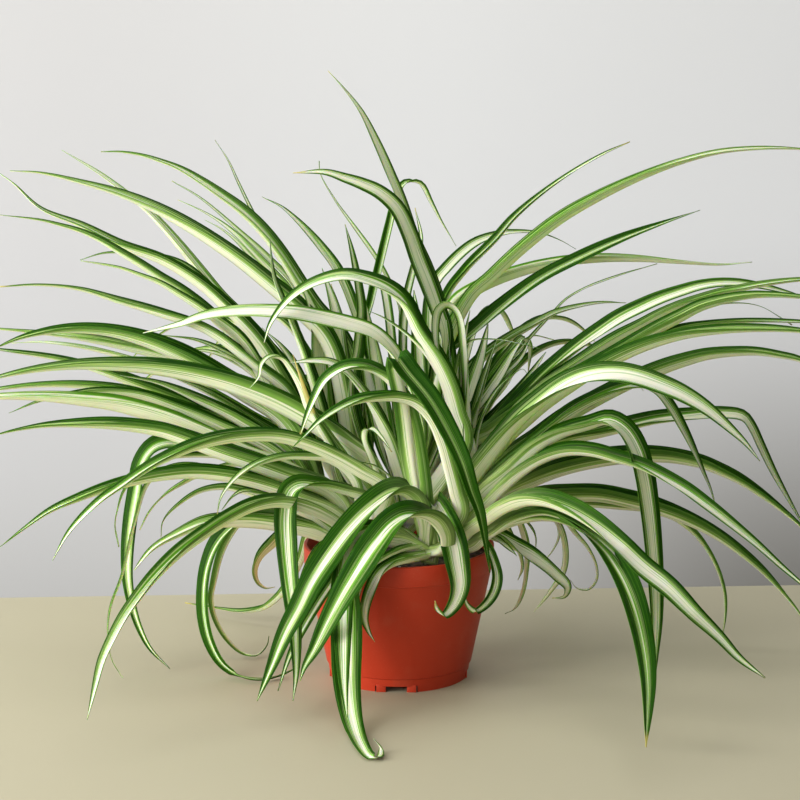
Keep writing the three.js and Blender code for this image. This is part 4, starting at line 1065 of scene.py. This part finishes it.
def flag_material():
    """Dark cloth to the right, out of the picture, that keeps light off the plant's right side."""
    material, nodes, shader = new_material("flag")
    nodes.feed(shader, {"Base Color": linear(40, 40, 40), "Roughness": 1.0, "Alpha": only_from_front(nodes)})
    return material


def stage_sheet(name, size, place, tilt, turn, material):
    """A flat sheet of a width and a length, tilted up from lying flat, turned, then moved to its place."""
    bm = bmesh.new()
    sheet = bmesh.ops.create_grid(bm, x_segments=1, y_segments=1, size=0.5)["verts"]
    bmesh.ops.scale(bm, vec=(*size, 1), verts=sheet)
    bmesh.ops.rotate(bm, cent=(0, 0, 0), matrix=Matrix.Rotation(tilt, 3, "X"), verts=sheet)
    bmesh.ops.rotate(bm, cent=(0, 0, 0), matrix=Matrix.Rotation(turn, 3, "Z"), verts=sheet)
    bmesh.ops.translate(bm, vec=place, verts=sheet)
    piece = mesh_object(bm, name, material)


def lamp(name, place, aim, width, height, power):
    data = bpy.data.lights.new(name, "AREA")
    data.shape = "RECTANGLE"
    data.size = width
    data.size_y = height
    data.energy = power
    light = new_object(name, data)
    light.location = place
    light.rotation_euler = (Vector(aim) - Vector(place)).to_track_quat("-Z", "Y").to_euler()


def sky(colour, strength):
    world = bpy.data.worlds.new("studio")
    world.use_nodes = True
    background = world.node_tree.nodes["Background"].inputs
    background["Color"].default_value = colour
    background["Strength"].default_value = strength
    bpy.context.scene.world = world


def camera():
    data = bpy.data.cameras.new("camera")
    data.sensor_width = 36
    data.lens = data.sensor_width * EYE_FOCAL / PICTURE_SIZE
    data.clip_end = 100
    eye = new_object("camera", data)
    eye.location = (EYE_SIDE * MM, -EYE_AWAY * MM, EYE_HEIGHT * MM)
    eye.rotation_euler = (math.pi / 2 - EYE_PITCH, 0, 0)
    bpy.context.scene.camera = eye


# The plant

streaks = streaks_group()
markings = markings_group(streaks)
upper = blade_material("leaf upper face", markings, {
    "Cream": linear(233, 233, 211),
    "Bright green": linear(98, 154, 40),
    "Deep green": linear(24, 66, 0),
    "Base": linear(222, 234, 164),
    "Dry": linear(196, 178, 96),
    "Widening": 0.0,
}, roughness=0.52, gloss=0.07)
# The under face's paler colours are partly the underside's own paler tone and partly painted light shining
# through the leaf
under = blade_material("leaf under face", markings, {
    "Cream": linear(238, 241, 211),
    "Bright green": linear(136, 174, 80),
    "Deep green": linear(64, 104, 32),
    "Base": linear(224, 238, 164),
    "Dry": linear(188, 170, 92),
    "Widening": 0.12,
}, roughness=0.55, gloss=0.06)

ribs = [*traced_ribs(), *filler_ribs()]
for crown in CROWNS:
    crown_piece(crown, ribs, upper, under)

terracotta = pot_material()
pot_piece(terracotta)
pot_feet(terracotta)
soil_piece(soil_material())
perlite_piece(perlite_material())

half = GROUND_SIZE / 2
middle = (math.sin(GROUND_TURN) * half, GROUND_EDGE - math.cos(GROUND_TURN) * half, 0)
behind = (0, BACKDROP_AWAY, 0)
stage_sheet("floor", (GROUND_SIZE, GROUND_SIZE), middle, 0, GROUND_TURN, floor_material())
stage_sheet("flag", FLAG_SIZE, FLAG_PLACE, UPRIGHT, FACING_LEFT, flag_material())
stage_sheet("backdrop", (GROUND_SIZE, BACKDROP_HEIGHT), behind, UPRIGHT, 0, backdrop_material())
sky(SKY_COLOUR, SKY_STRENGTH)
for values in LAMPS:
    lamp(*values)
camera()
bpy.context.scene.view_settings.view_transform = "Standard"
